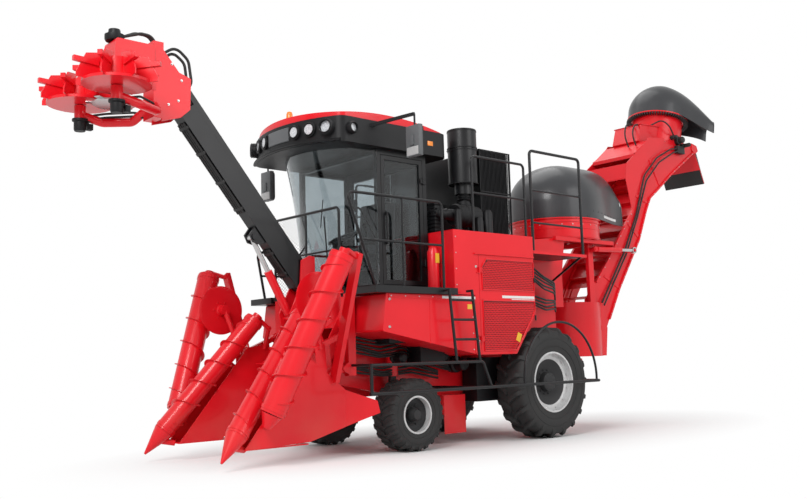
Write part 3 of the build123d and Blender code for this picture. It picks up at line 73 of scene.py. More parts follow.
camera = bpy.data.objects.new("camera", bpy.data.cameras.new("camera"))
camera.data.sensor_fit = "HORIZONTAL"
camera.data.sensor_width = SENSOR_MM
camera.data.lens = FOCAL_PX * SENSOR_MM / WIDTH_PX
camera.matrix_world = Matrix((
    (right.x, top.x, -ahead.x, EYE.x),
    (right.y, top.y, -ahead.y, EYE.y),
    (right.z, top.z, -ahead.z, EYE.z),
    (0, 0, 0, 1)))
bpy.context.scene.collection.objects.link(camera)
bpy.context.scene.camera = camera
print("lens", round(camera.data.lens, 2), "mm")

# %% [markdown]
# ## Shader sums
# A material is a web of nodes. Writing each node by hand hides the idea behind it, so this small
# class wraps a socket: adding, multiplying or dividing two of them adds the Math node, and
# `node` adds any other one. What it returns is again such a socket.


# %% A socket that can be added and multiplied
class Wire:
    def __init__(self, tree, socket=None):
        self.tree = tree
        self.socket = socket

    def node(self, kind, settings, inputs, output=0):
        made = self.tree.nodes.new(kind)
        for name, setting in settings.items():
            setattr(made, name, setting)
        for name, given in inputs.items():
            if isinstance(given, Wire):
                self.tree.links.new(given.socket, made.inputs[name])
            else:
                made.inputs[name].default_value = given
        return Wire(self.tree, made.outputs[output])

    def math(self, operation, first, second=0.0):
        return self.node("ShaderNodeMath", {"operation": operation}, {0: first, 1: second})

    def __add__(self, other):
        return self.math("ADD", self, other)

    __radd__ = __add__

    def __rsub__(self, other):
        return self.math("SUBTRACT", other, self)

    def __mul__(self, other):
        return self.math("MULTIPLY", self, other)

    def __truediv__(self, other):
        return self.math("DIVIDE", self, other)

    def __pow__(self, other):
        return self.math("POWER", self, other)

    def sine(self):
        return self.math("SINE", self)

    def parts(self):
        # The three numbers of a vector.
        split = self.tree.nodes.new("ShaderNodeSeparateXYZ")
        self.tree.links.new(self.socket, split.inputs[0])
        return [Wire(self.tree, output) for output in split.outputs]

    def clear_step(self, low, high):
        # 0 below low, 1 above high, and a straight ramp between.
        return self.node("ShaderNodeMapRange", {}, {0: self, 1: low, 2: high, 3: 0.0, 4: 1.0})

    def mix(self, first, second):
        # Colour `first` where this value is 0, and `second` where it is 1.
        return self.node("ShaderNodeMix", {"data_type": "RGBA"}, {0: self, 6: first, 7: second}, 2)


# %% [markdown]
# Most finishes start the same way. They take the object's own coordinates in metres, which stay
# with a piece when it moves, and some noise from them. The helpers below make those parts and plug
# the results into the one shader that every solid finish uses.


# %% The parts that finishes share
def colour(red, green, blue):
    return (red, green, blue, 1.0)


class Finish:
    def __init__(self, name, base, **constants):
        self.material = bpy.data.materials.new(name)
        self.material.use_nodes = True
        self.tree = self.material.node_tree
        self.shader = self.tree.nodes["Principled BSDF"]
        self.wire = Wire(self.tree)
        self.shader.inputs["Base Color"].default_value = base
        for socket, value in constants.items():
            self.shader.inputs[socket.replace("_", " ")].default_value = value

    def place(self):
        return self.wire.node("ShaderNodeTexCoord", {}, {}, "Object")

    def axes(self):
        return self.place().parts()

    def facing_up(self):
        # 1 on a face that looks straight up, 0 on an upright one.
        return self.wire.node("ShaderNodeNewGeometry", {}, {}, "Normal").parts()[2]

    def noise(self, scale, detail=3.0, roughness=0.55):
        return self.wire.node("ShaderNodeTexNoise", {}, {
            "Vector": self.place(), "Scale": scale, "Detail": detail, "Roughness": roughness})

    def feed(self, socket, wire):
        self.tree.links.new(wire.socket, self.shader.inputs[socket])

    def bump(self, height, strength, distance, edge=0.0):
        inputs = {"Height": height, "Strength": strength, "Distance": distance}
        if edge:
            inputs["Normal"] = self.wire.node("ShaderNodeBevel", {"samples": 4}, {"Radius": edge})
        self.feed("Normal", self.wire.node("ShaderNodeBump", {}, inputs))


# %% [markdown]
# ## Red paint
# The panels wear a bright, thick enamel with a clear gloss. Close up it has an orange-peel skin, it
# varies a little in wide patches, and dust browns it near the ground. The bevel node rounds the
# light over sharp edges, so folded sheet doesn't look like cut card.


# %% Red paint
def red_paint():
    red, green, blue = 0.74, 0.006, 0.014
    paint = Finish("red_paint", colour(red, green, blue), Coat_Weight=0.20, Coat_Roughness=0.09,
                   Specular_IOR_Level=0.26)
    height = paint.axes()[2]
    patches = paint.noise(1.7, 4.0)
    dust = (1 - height.clear_step(0.15, 0.9)) * patches.clear_step(0.42, 0.7) * 0.22
    worn = paint.noise(38.0, 6.0, 0.7).clear_step(0.60, 0.72) * 0.10
    darker = colour(red * 0.90, green, blue * 0.9)
    brighter = colour(red * 1.08, green * 1.4, blue * 1.3)
    enamel = worn.mix(patches.mix(darker, brighter), colour(red * 0.8, 0.02, 0.03))
    paint.feed("Base Color", dust.mix(enamel, colour(0.30, 0.16, 0.10)))
    paint.feed("Roughness", 0.27 + patches * 0.12 + dust * 0.5)
    paint.bump(paint.noise(150.0, 1.0), 0.10, 0.0006, edge=0.004)
    return paint.material


RED = red_paint()
print("made", RED.name)

# %% [markdown]
# ## Black and grey
# The boom, the rails and the cab are painted satin black. The hoods are a dark grey moulding with
# a soft wide shine, and the trim round the roof is a grained plastic. They differ mostly in how
# rough they are and in the size of their grain, so they share one recipe with different numbers.


# %% Black paint, grey mouldings and trim
def dark_finish(name, base, rough, grain, depth, coat=0.0):
    paint = Finish(name, colour(*base), Coat_Weight=coat, Coat_Roughness=0.15, Specular_IOR_Level=0.25)
    patches = paint.noise(2.3, 4.0)
    dust = paint.facing_up().clear_step(0.6, 1.0) * paint.noise(7.0, 5.0).clear_step(0.40, 0.75) * 0.10
    darker = colour(*[value * 0.80 for value in base])
    lighter = colour(*[value * 1.25 for value in base])
    paint.feed("Base Color", dust.mix(patches.mix(darker, lighter), colour(0.22, 0.20, 0.18)))
    paint.feed("Roughness", rough + patches * 0.12 + dust)
    paint.bump(paint.noise(grain, 2.0), 0.25, depth, edge=0.003)
    return paint.material


BLACK = dark_finish("black_paint", (0.007, 0.007, 0.008), 0.30, 160.0, 0.0006, coat=0.10)
GREY = dark_finish("grey_shell", (0.036, 0.037, 0.040), 0.30, 90.0, 0.0007, coat=0.20)
TRIM = dark_finish("black_trim", (0.006, 0.006, 0.007), 0.42, 420.0, 0.0008)
CAST = dark_finish("cast_metal", (0.030, 0.030, 0.031), 0.50, 110.0, 0.0020)
SILVER_GREY = dark_finish("mirror_case", (0.11, 0.115, 0.12), 0.36, 300.0, 0.0006)
print("made", BLACK.name, GREY.name, TRIM.name, CAST.name, SILVER_GREY.name)

# %% [markdown]
# ## Wheels' finishes
# Tyre rubber is never quite black: it greys where the mould released it and keeps a fine nap. The
# rims are pale grey enamel, a little dirty round the bolts.


# %% Rubber and rim paint
def rubber(name, base=0.020, rough=0.62):
    made = Finish(name, colour(base, base, base * 1.05), Specular_IOR_Level=0.35)
    patches = made.noise(9.0, 6.0, 0.65)
    made.feed("Base Color", patches.mix(colour(base * 0.75, base * 0.75, base * 0.8),
                                        colour(base * 1.8, base * 1.75, base * 1.7)))
    made.feed("Roughness", rough + patches * 0.22)
    made.bump(made.noise(260.0, 3.0), 0.35, 0.0012)
    return made.material


def rim_paint():
    paint = Finish("rim_paint", colour(0.58, 0.58, 0.58), Coat_Weight=0.2, Coat_Roughness=0.2)
    patches = paint.noise(6.0, 5.0, 0.6)
    grime = paint.noise(26.0, 5.0, 0.7).clear_step(0.52, 0.8) * 0.45
    pale = patches.mix(colour(0.46, 0.465, 0.47), colour(0.66, 0.66, 0.655))
    paint.feed("Base Color", grime.mix(pale, colour(0.16, 0.145, 0.13)))
    paint.feed("Roughness", 0.34 + patches * 0.14 + grime * 0.4)
    paint.bump(paint.noise(140.0, 2.0), 0.15, 0.0007, edge=0.003)
    return paint.material


TYRE = rubber("tyre_rubber")
HOSE = rubber("hose_rubber", 0.012, 0.42)
RIM = rim_paint()
print("made", TYRE.name, HOSE.name, RIM.name)

# %% [markdown]
# ## Glass, lamps and bright metal
# The windows are tinted safety glass. Real refraction through a pane 8 mm thick needs only a
# transmission weight; the tint sits in the base colour. Lamp lenses have small facets behind them,
# which a cell texture gives. Rods and bolts are bright steel with fine scratches along them.


# %% Glass, lenses, steel and woven cloth
def window_glass():
    glass = Finish("window_glass", colour(0.52, 0.57, 0.59), Transmission_Weight=1.0, IOR=1.45)
    smears = glass.noise(5.0, 6.0, 0.6)
    glass.feed("Base Color", smears.mix(colour(0.46, 0.51, 0.53), colour(0.60, 0.65, 0.67)))
    glass.feed("Roughness", smears.clear_step(0.6, 0.9) * 0.004)
    return glass.material


def lamp_lens():
    lens = Finish("lamp_lens", colour(0.80, 0.81, 0.83), Coat_Weight=1.0, Coat_Roughness=0.03)
    facets = lens.wire.node("ShaderNodeTexVoronoi", {"feature": "F1"},
                            {"Vector": lens.place(), "Scale": 95.0})
    bright, dim = colour(0.86, 0.87, 0.88), colour(0.45, 0.47, 0.50)
    lens.feed("Base Color", facets.clear_step(0.0, 0.7).mix(bright, dim))
    lens.feed("Roughness", 0.12 + facets * 0.15)
    lens.bump(facets, 0.6, 0.003)
    return lens.material


def bright_steel(name, base, rough):
    metal = Finish(name, colour(base, base, base * 0.99), Metallic=1.0)
    scratches = metal.noise(70.0, 8.0, 0.75)
    dull = colour(base * 0.7, base * 0.7, base * 0.69)
    metal.feed("Base Color", scratches.mix(dull, colour(base, base, base)))
    metal.feed("Roughness", rough + scratches * 0.25)
    metal.bump(scratches, 0.10, 0.0004, edge=0.002)
    return metal.material


def seat_cloth():
    cloth = Finish("seat_cloth", colour(0.03, 0.03, 0.034), Sheen_Weight=0.3, Roughness=0.85)
    x, y, z = cloth.axes()
    weave = ((x * 1800.0).sine() * ((y + z) * 1800.0).sine()) * 0.5 + 0.5
    cloth.feed("Base Color", weave.mix(colour(0.016, 0.016, 0.018), colour(0.050, 0.050, 0.056)))
    cloth.bump(weave, 0.4, 0.0008, edge=0.012)
    return cloth.material


GLASS = window_glass()
LENS = lamp_lens()
STEEL = bright_steel("steel", 0.62, 0.18)
CLOTH = seat_cloth()
print("made", GLASS.name, LENS.name, STEEL.name, CLOTH.name)

# %% [markdown]
# ## Small coloured finishes
# Warning plates are bare yellow film, the side stripes are pale film, and the beacon is amber
# plastic. They get a light mottling and a soft gloss, so that they read as film and not as light.


# %% Film and plastics in colour
def film(name, base, rough=0.35):
    made = Finish(name, colour(*base), Coat_Weight=0.3, Coat_Roughness=0.2)
    mottle = made.noise(45.0, 5.0, 0.65)
    darker = colour(*[value * 0.82 for value in base])
    paler = colour(*[min(1.0, value * 1.1) for value in base])
    made.feed("Base Color", mottle.mix(darker, paler))
    made.feed("Roughness", rough + mottle * 0.15)
    made.bump(mottle, 0.08, 0.0005)
    return made.material


YELLOW = film("yellow_film", (0.80, 0.47, 0.02))
WHITE = film("pale_stripe", (0.74, 0.74, 0.73))
AMBER = film("amber_plastic", (0.85, 0.24, 0.01), 0.18)
PIPE = film("pale_pipe", (0.42, 0.42, 0.42), 0.30)
print("made", YELLOW.name, WHITE.name, AMBER.name, PIPE.name)

# %% [markdown]
# ## Finishes for the solids
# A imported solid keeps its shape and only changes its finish: each of its material slots gets the
# finish that the record names for that node.

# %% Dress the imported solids
FINISHES = {"red_paint": RED, "black_paint": BLACK, "grey_shell": GREY, "black_trim": TRIM,
            "rim_paint": RIM, "tyre": TYRE, "glass": GLASS, "lamp": LENS, "steel": STEEL,
            "cast": CAST, "seat_cloth": CLOTH}
for part in frame["record"]["subparts"]:
    for material_slot in NODES[part["node"]].material_slots:
        material_slot.material = FINISHES[part["material_slot"]]

# %% [markdown]
# ## Floor, sky and lamps
# The machine stands in a white studio. The floor is pale and keeps a soft shadow round the wheels,
# and further out it turns into the plain white of the backdrop. Rays that come from the camera,
# from a shine or through glass see that same white. The lamps are large and soft, with the
# strongest on the left, where the machine's bright edges are.


# %% Stage
PALE_X, PALE_Y = 2.3, 4.6
REACH = 60.0


def white_rays(wire):
    # 1 for rays from the camera, from a shine or through glass, and 0 for all others.
    kinds = ("Is Camera Ray", "Is Glossy Ray", "Is Transmission Ray")
    seen, glossy, through = [wire.node("ShaderNodeLightPath", {}, {}, kind) for kind in kinds]
    return wire.math("MINIMUM", seen + glossy + through, 1.0)


def studio_floor():
    made = bpy.data.materials.new("studio_floor")
    made.use_nodes = True
    tree = made.node_tree
    wire = Wire(tree)
    shader = tree.nodes["Principled BSDF"]
    shader.inputs["Base Color"].default_value = colour(0.86, 0.86, 0.86)
    shader.inputs["Roughness"].default_value = 0.9
    shader.inputs["Specular IOR Level"].default_value = 0.1
    white = wire.node("ShaderNodeEmission", {}, {"Color": colour(1, 1, 1), "Strength": 1.0})
    x, y = wire.node("ShaderNodeTexCoord", {}, {}, "Object").parts()[:2]
    away = ((x / PALE_X) ** 2.0 + (y / PALE_Y) ** 2.0) ** 0.5
    share = away.clear_step(0.55, 1.35) * white_rays(wire)
    lit = Wire(tree, shader.outputs[0])
    mixed = wire.node("ShaderNodeMixShader", {}, {0: share, 1: lit, 2: white})
    tree.links.new(mixed.socket, tree.nodes["Material Output"].inputs["Surface"])
    return made


floor_mesh = bpy.data.meshes.new("floor")
floor_mesh.from_pydata([(-REACH, -REACH, 0), (REACH, -REACH, 0), (REACH, REACH, 0), (-REACH, REACH, 0)],
                       [], [(0, 1, 2, 3)])
floor = bpy.data.objects.new("floor", floor_mesh)
floor_mesh.materials.append(studio_floor())
bpy.context.scene.collection.objects.link(floor)

world = bpy.data.worlds.new("studio")
world.use_nodes = True
bpy.context.scene.world = world
backdrop = world.node_tree.nodes["Background"]
backdrop.inputs["Color"].default_value = colour(1, 1, 1)
strength = 0.50 + white_rays(Wire(world.node_tree)) * 0.50
world.node_tree.links.new(strength.socket, backdrop.inputs["Strength"])


def soft_lamp(name, place, aim, size, power):
    lamp = bpy.data.lights.new(name, "AREA")
    lamp.size = size
    lamp.energy = power
    holder = bpy.data.objects.new(name, lamp)
    holder.location = place
    holder.rotation_euler = (Vector(aim) - Vector(place)).to_track_quat("-Z", "Y").to_euler()
    bpy.context.scene.collection.objects.link(holder)


soft_lamp("key_lamp", (6.5, -12.5, 10.0), (0, -1.0, 1.5), 5.0, 1250)
soft_lamp("side_lamp", (12.0, 3.0, 8.0), (0, 1.0, 1.5), 7.0, 520)
soft_lamp("top_lamp", (-3.0, 2.0, 12.0), (0, 0.5, 2.0), 8.0, 420)
bpy.context.scene.view_settings.view_transform = "Standard"
print("stage is set")

# %% [markdown]
# ## Ways to make a piece
# Nearly every added piece is one mesh that is put together from a few kinds of form: a prism cut
# from a side outline, a turned profile, and a tube along a line. The helpers add such forms to a
# bmesh, and `finished` turns the bmesh into an object: it shades it smooth, keeps the edges sharp
# that bend more than the given angle, hands it its finish and lets it ride.


# %% Forms
UP, LEFT = (0, 0, 1), (1, 0, 0)


def at(x, station, z):
    # Stations are counted from the front axle, as on the drawings.
    return Vector((x, station + AXLE_Y, z))


def path(*points):
    return [at(*point) for point in points]


def spread(low, high, count):
    # Evenly spaced values, both ends among them.
    return [low + (high - low) * step / (count - 1) for step in range(count)]


def strips(mesh, rings, close_ring=True, cap=True):
    # Joins rings of equal point counts with quads.
    rows = [[mesh.verts.new(point) for point in ring] for ring in rings]
    count = len(rows[0])
    last = count if close_ring else count - 1
    for low, high in zip(rows, rows[1:]):
        for step in range(last):
            after = (step + 1) % count
            mesh.faces.new([low[step], low[after], high[after], high[step]])
    if cap and close_ring:
        mesh.faces.new(rows[0][::-1])
        mesh.faces.new(rows[-1])


def add_prism(mesh, outline, x0, x1):
    # A plate from an outline of (station, z) points, between two values of X.
    strips(mesh, [[at(x, y, z) for y, z in outline] for x in (x0, x1)])


def add_box(mesh, low, high, turn=None, edge=0.0):
    middle, half = (low + high) / 2, (high - low) / 2
    signs = [(-1, -1, -1), (1, -1, -1), (1, 1, -1), (-1, 1, -1),
             (-1, -1, 1), (1, -1, 1), (1, 1, 1), (-1, 1, 1)]
    points = [Vector([s * h for s, h in zip(sign, half)]) for sign in signs]
    if turn:
        points = [turn @ point for point in points]
    corners = [mesh.verts.new(middle + point) for point in points]
    for face in ((0, 3, 2, 1), (4, 5, 6, 7), (0, 1, 5, 4), (1, 2, 6, 5), (2, 3, 7, 6), (3, 0, 4, 7)):
        mesh.faces.new([corners[index] for index in face])
    if edge:
        lines = list({line for corner in corners for line in corner.link_edges})
        bmesh.ops.bevel(mesh, geom=lines, offset=edge, segments=2, profile=0.6, affect="EDGES")


def frame_along(axis):
    # Two ways square to an axis and to each other, and the axis itself.
    axis = Vector(axis).normalized()
    hint = Vector(LEFT) if abs(axis.z) > 0.95 else Vector(UP)
    side = axis.cross(hint).normalized()
    return side, side.cross(axis).normalized(), axis


def add_turned(mesh, profile, centre, axis, steps=48, cap=False):
    # A profile of (distance along the axis, radius), turned about it.
    side, lift, way = frame_along(axis)
    rings = []
    for along, radius in profile:
        middle = Vector(centre) + way * along
        rings.append([middle + (side * cos(turn) + lift * sin(turn)) * radius
                      for turn in [2 * pi * step / steps for step in range(steps)]])
    strips(mesh, rings, cap=cap)


def add_band(mesh, low, high, inner, outer, centre, axis, steps):
    # A square band round an axis, between two distances along it.
    add_turned(mesh, [(low, inner), (low, outer), (high, outer), (high, inner)], centre, axis, steps)


def add_tube(mesh, points, radius, sides=10, cap=True):
    # A round tube along a line of points, with the ring carried on from one point to the next.
    points = [Vector(point) for point in points]
    side = None
    rings = []
    for index, point in enumerate(points):
        before = points[max(index - 1, 0)]
        after = points[min(index + 1, len(points) - 1)]
        axis = (after - before).normalized()
        if side is None:
            side = frame_along(axis)[0]
        side = (side - axis * side.dot(axis)).normalized()
        lift = axis.cross(side)
        wide = radius(index / (len(points) - 1)) if callable(radius) else radius
        rings.append([point + (side * cos(turn) + lift * sin(turn)) * wide
                      for turn in [2 * pi * step / sides for step in range(sides)]])
    strips(mesh, rings, cap=cap)


def rounded(points, bend, steps=5):
    # The same line with each corner turned into an arc.
    points = [Vector(point) for point in points]
    line = [points[0]]
    for before, corner, after in zip(points, points[1:], points[2:]):
        back, on = (before - corner), (after - corner)
        angle = back.angle(on)
        reach = min(bend / tan(angle / 2), back.length * 0.49, on.length * 0.49)
        start, end = corner + back.normalized() * reach, corner + on.normalized() * reach
        for step in range(steps + 1):
            t = step / steps
            line.append(start * (1 - t) ** 2 + corner * 2 * t * (1 - t) + end * t * t)
    return line + [points[-1]]


def add_bolt(mesh, place, way, size):
    # A washer and a hexagon head.
    head = [(size * 0.22, size * 0.72), (size * 0.8, size * 0.72), (size * 0.95, size * 0.6)]
    add_turned(mesh, [(0, size), (size * 0.22, size)], place, way, 12, cap=True)
    add_turned(mesh, head, place, way, 6, cap=True)


def bolts_round(mesh, centre, radius, turns, size):
    # Bolts that point away from an upright axis.
    for turn in turns:
        way = Vector((cos(turn), sin(turn), 0))
        add_bolt(mesh, centre + way * radius, way, size)


def full_turn(count):
    return [2 * pi * step / count for step in range(count)]


def finished(name, mesh, node, finish, sharp=32):
    # Makes the object. It rides on the body that holds the named node.
    body = BODY[node]
    bmesh.ops.recalc_face_normals(mesh, faces=mesh.faces)
    limit = radians(sharp)
    for face in mesh.faces:
        face.smooth = True
    for line in mesh.edges:
        line.smooth = len(line.link_faces) == 2 and line.calc_face_angle(0.0) < limit
    data = bpy.data.meshes.new(name)
    mesh.to_mesh(data)
    mesh.free()
    data.materials.append(finish)
    made = bpy.data.objects.new(name, data)
    bpy.context.scene.collection.objects.link(made)
    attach(made, body)
    print(name, "on", body, "-", len(data.polygons), "faces")
    return made


def mirrored(mesh):
    # A copy of the mesh on the machine's other side.
    other = mesh.copy()
    for vert in other.verts:
        vert.co.x = -vert.co.x
    bmesh.ops.reverse_faces(other, faces=other.faces)
    return other


# %% [markdown]
# ## Tyres
# Farm tyres carry rows of slanting bars, one row a half step behind the other, that meet near the
# middle and run over the shoulder. A turned profile gives the carcass. Each bar is swept in short
# steps across it, so it bends with the tread, and it is wider at its root than on top.


# %% Tyres
def tyre_profile(radius, width, rim, bead, lug):
    crown = radius - lug
    rise = crown - rim
    half = [(bead / 2 - 0.012, rim - 0.004), (bead / 2, rim), (bead / 2 + 0.004, rim + 0.012),
            (bead / 2 + 0.016, rim + 0.020), (width * 0.465, rim + rise * 0.20),
            (width * 0.492, rim + rise * 0.34), (width * 0.500, rim + rise * 0.50),
            (width * 0.496, rim + rise * 0.66), (width * 0.484, rim + rise * 0.80),
            (width * 0.462, rim + rise * 0.90), (width * 0.425, rim + rise * 0.965),
            (width * 0.34, crown * 0.996), (width * 0.18, crown)]
    return half + [(-x, r) for x, r in reversed(half)]


def add_bar(mesh, centre, radius, width, lug, side, start, lean, thick):
    # One slanting bar of the tread: a prism in eight steps from the middle to the shoulder.
    rings = []
    near = 0.01
    steps = 8
    for step in range(steps + 1):
        share = step / steps
        across = width * (near + (0.493 - near) * share)
        drop = max(0.0, share - 0.72) / 0.28
        top_r = radius - lug * 1.45 * drop ** 1.7
        foot_r = radius - lug * (1.15 + 1.9 * drop ** 1.5)
        turn = start + (across - width * near) * tan(lean * (1.0 - 0.35 * share)) / radius
        half_top = thick * 0.5 * (1.0 + 0.25 * share)
        half_foot = half_top * 1.55
        ring = []
        for r, half in ((top_r, -half_top), (top_r, half_top), (foot_r, half_foot), (foot_r, -half_foot)):
            spot = turn + half / r
            wide = across * (1.0 if r == foot_r else 0.995)
            ring.append(centre + Vector((side * wide, r * sin(spot), r * cos(spot))))
        rings.append(ring)
    strips(mesh, rings)


def tyre(name, node, centre, radius, width, rim, bead, lug, count, lean, thick):
    mesh = bmesh.new()
    add_turned(mesh, tyre_profile(radius, width, rim, bead, lug), centre, LEFT, 96)
    for way in (1, -1):
        for ring in (0.30, 0.62):
            r = rim + (radius - lug - rim) * ring
            x = width * (0.488 if ring < 0.5 else 0.499)
            add_turned(mesh, [(way * (x - 0.006), r - 0.007), (way * (x + 0.003), r - 0.003),
                              (way * (x + 0.003), r + 0.003), (way * (x - 0.006), r + 0.007)],
                       centre, LEFT, 96)
        for step in range(count):
            start = 2 * pi / count * (step + (0.25 if way > 0 else 0.75))
            add_bar(mesh, centre, radius, width, lug, way, start, radians(lean), thick)
    made = finished(name, mesh, node, TYRE, sharp=38)
    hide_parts(node)


# A wheel's numbers: radius, width, radius and width at the bead, and height of the bars; then the
# bars on each side, their lean in degrees and their thickness.
FRONT_R, REAR_R = 0.437, 0.742
FRONT_HUB = at(0.820, 0, FRONT_R)
REAR_HUB = at(1.040, 2.260, REAR_R)
FRONT_WHEEL = (FRONT_R, 0.400, 0.218, 0.330, 0.022, 22, 38, 0.030)
REAR_WHEEL = (REAR_R, 0.470, 0.395, 0.400, 0.045, 19, 46, 0.042)
for side, way in (("left", 1), ("right", -1)):
    flip = Vector((way, 1, 1))
    tyre("front_tread_" + side, "front_tyre_" + side, FRONT_HUB * flip, *FRONT_WHEEL)
    tyre("rear_tread_" + side, "rear_tyre_" + side, REAR_HUB * flip, *REAR_WHEEL)

# %% [markdown]
# ## Scrolls
# Each crop divider lifts fallen cane with two rolling scrolls: a tube with a thin plate wound
# round it. A helix is easy to write out: the angle grows in step with the height. The plate gets a
# real thickness, and the tube a welded collar at each end.


# %% Scrolls
def scroll(name, node, tip, top, tube_r, start, hand, pitch, side):
    # The tube begins at `start`, counted from the tip. `hand` is 1 or -1, for the way of winding.
    mesh = bmesh.new()
    foot, head = at(*tip), at(*top)
    if side == "right":
        foot.x, head.x, hand = -foot.x, -head.x, -hand
    way, lift, axis = frame_along(head - foot)
    length = (head - foot).length
    add_turned(mesh, [(start, 0.0), (start, tube_r - 0.006), (start + 0.004, tube_r),
                      (length - 0.004, tube_r), (length, tube_r - 0.006), (length, 0.0)], foot, axis, 56)
    for low in (start + 0.03, length - 0.07):
        add_band(mesh, low, low + 0.04, tube_r - 0.002, tube_r + 0.006, foot, axis, 56)
    turns = (length - start - 0.24) / pitch
    steps = int(turns * 36)
    rings = []
    for step in range(steps + 1):
        turn = 2 * pi * turns * step / steps
        height = start + 0.12 + pitch * turns * step / steps
        out = way * cos(hand * turn) + lift * sin(hand * turn)
        taper = min(1.0, step / 14, (steps - step) / 14)
        reach = tube_r + 0.006 + 0.027 * taper
        middle = foot + axis * height
        rings.append([middle + out * (tube_r - 0.006) - axis * 0.005, middle + out * reach - axis * 0.004,
                      middle + out * reach + axis * 0.004, middle + out * (tube_r - 0.006) + axis * 0.005])
    strips(mesh, rings)
    for low in (start - 0.06, start):
        add_band(mesh, low, low + 0.06, 0.0, 0.03, foot, axis, 20)
    made = finished(name, mesh, node, RED, sharp=30)
    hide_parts(node)


for side in ("left", "right"):
    scroll("inner_screw_" + side, "inner_scroll_" + side, (0.860, -2.610, 0.100), (0.500, -1.320, 1.650),
           0.118, 0.331, 1, 0.300, side)
    scroll("outer_screw_" + side, "outer_scroll_" + side, (0.990, -2.150, 0.430), (1.440, -1.430, 2.260),
           0.138, 0.160, -1, 0.320, side)

# %% [markdown]
# ## Extractor hoods
# The hoods are one smooth moulding: a dome over the fan that runs out into a trunk. The dome and
# the trunk are one family of sections. Each has a straight wall at its foot and an arch above it,
# and width, wall and arch change smoothly along the hood. A superellipse gives a round arch over
# the dome and a squarer one at the mouth.


# %% Hoods
def smooth(share):
    share = max(0.0, min(1.0, share))
    return share * share * (3 - 2 * share)


class Hood:
    # A dome of a radius and a rise that runs out along +Y into a trunk with a squarer mouth.
    def __init__(self, radius, wall, rise, trunk, mouth_half, mouth_wall, drop, hold, droop):
        self.radius, self.wall, self.rise, self.trunk = radius, wall, rise, trunk
        self.mouth_half, self.mouth_wall = mouth_half, mouth_wall
        self.drop, self.hold, self.droop = drop, hold, droop

    def section(self, station):
        # Half width, straight wall, arch above it, height of the base and squareness of the arch.
        if station < 0:
            round_part = sqrt(max(0.0, 1 - (station / self.radius) ** 2))
            return self.radius * round_part, self.wall, (self.rise - self.wall) * round_part, 0.0, 2.2
        share = station / self.trunk
        half = self.radius + (self.mouth_half - self.radius) * smooth(share)
        wall = self.wall + (self.mouth_wall - self.wall) * smooth(share)
        roof = self.rise * (1 - self.drop * share ** self.hold)
        return half, wall, roof - wall, -self.droop * share ** 2, 2.2 + 1.3 * smooth(share)

    def point(self, station, angle):
        # A point of the arch: 0 is the left springing, pi the right one.
        half, wall, arch, base, power = self.section(station)
        c, s = cos(angle), sin(angle)
        x = half * (1 if c > 0 else -1) * abs(c) ** (2 / power)
        return Vector((x, station, base + wall + arch * abs(s) ** (2 / power)))

    def foot(self, station):
        half, _, _, base, _ = self.section(station)
        return half, base

    def side_point(self, station, height, out):
        # A point on the straight wall of the left side, pushed out by a small amount.
        half, base = self.foot(station)
        return Vector((half + out, station, base + height))

    def ring(self, station):
        # One whole section, from the right foot over the arch to the left foot.
        half, base = self.foot(station)
        arch = [self.point(station, pi - pi * step / 24) for step in range(25)]
        return [Vector((-half, station, base))] + arch + [Vector((half, station, base))]

    def rings(self):
        stations = [-self.radius * cos(pi / 2 * step / 14) for step in range(15)]
        stations += [self.trunk * step / 26 for step in range(1, 27)]
        return [self.ring(station) for station in stations]


WALL = 0.010


def hood_piece(name, node, hood, place):
    mesh = bmesh.new()
    strips(mesh, [[place @ point for point in ring] for ring in hood.rings()], close_ring=False)
    bmesh.ops.remove_doubles(mesh, verts=mesh.verts, dist=0.0005)
    made = finished(name, mesh, node, GREY, sharp=50)
    shell = made.modifiers.new("skin", "SOLIDIFY")
    shell.thickness = WALL
    shell.offset = -1
    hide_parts(node)


# A hood's numbers: radius, wall, rise and length of the trunk; half width and wall at the mouth; how
# far the roof drops, how late it does so, and how far the foot droops.
RING_FOOT = at(0, 3.970, 0)
primary = Hood(0.715, 0.250, 0.920, 1.270, 0.400, 0.160, 0.42, 6.0, 0.0)
primary_place = Matrix.Translation(RING_FOOT + Vector((0, 0, 3.181)))
hood_piece("primary_hood", "extractor_hood", primary, primary_place)
secondary = Hood(0.530, 0.150, 0.660, 0.980, 0.215, 0.080, 0.62, 1.5, 0.160)
SECOND_RING = at(0, 7.100, 5.310)
second_ring_place = Matrix.Translation(SECOND_RING) @ Matrix.Rotation(radians(-12), 4, "X")
second_place = second_ring_place @ Matrix.Translation((0, 0, 0.001)) @ Matrix.Rotation(radians(-40), 4, "Z")
hood_piece("second_hood_shell", "second_hood", secondary, second_place)

# %% [markdown]
# A moulding this large is stiffened by a thick bead round its mouth and a bolted band along its
# foot. The band follows the same sections as the hood, pushed out by a few millimetres, so it lies
# on the wall wherever the wall bends. The pale reflective strips are made in the same way.

# %% Bands, beads and strips on the hoods
def hood_band(mesh, hood, place, stations, low, high, out, mirror):
    rows = []
    for station in stations:
        corners = [hood.side_point(station, low, 0.0), hood.side_point(station, low, out),
                   hood.side_point(station, high, out), hood.side_point(station, high, 0.0)]
        rows.append([place @ Vector((mirror * corner.x, corner.y, corner.z)) for corner in corners])
    strips(mesh, rows)


def foot_band(mesh, hood, place, low, high, out):
    # Round the dome's foot and along both walls of the trunk.
    rows = []
    for turn in spread(-pi, 0, 33):
        way = Vector((cos(turn), sin(turn), 0))
        rows.append([place @ (way * (hood.radius + reach) + Vector((0, 0, height)))
                     for reach, height in ((0.0, low), (out, low), (out, high), (0.0, high))])
    strips(mesh, rows)
    for mirror in (1, -1):
        hood_band(mesh, hood, place, spread(0.0, hood.trunk, 14), low, high, out, mirror)


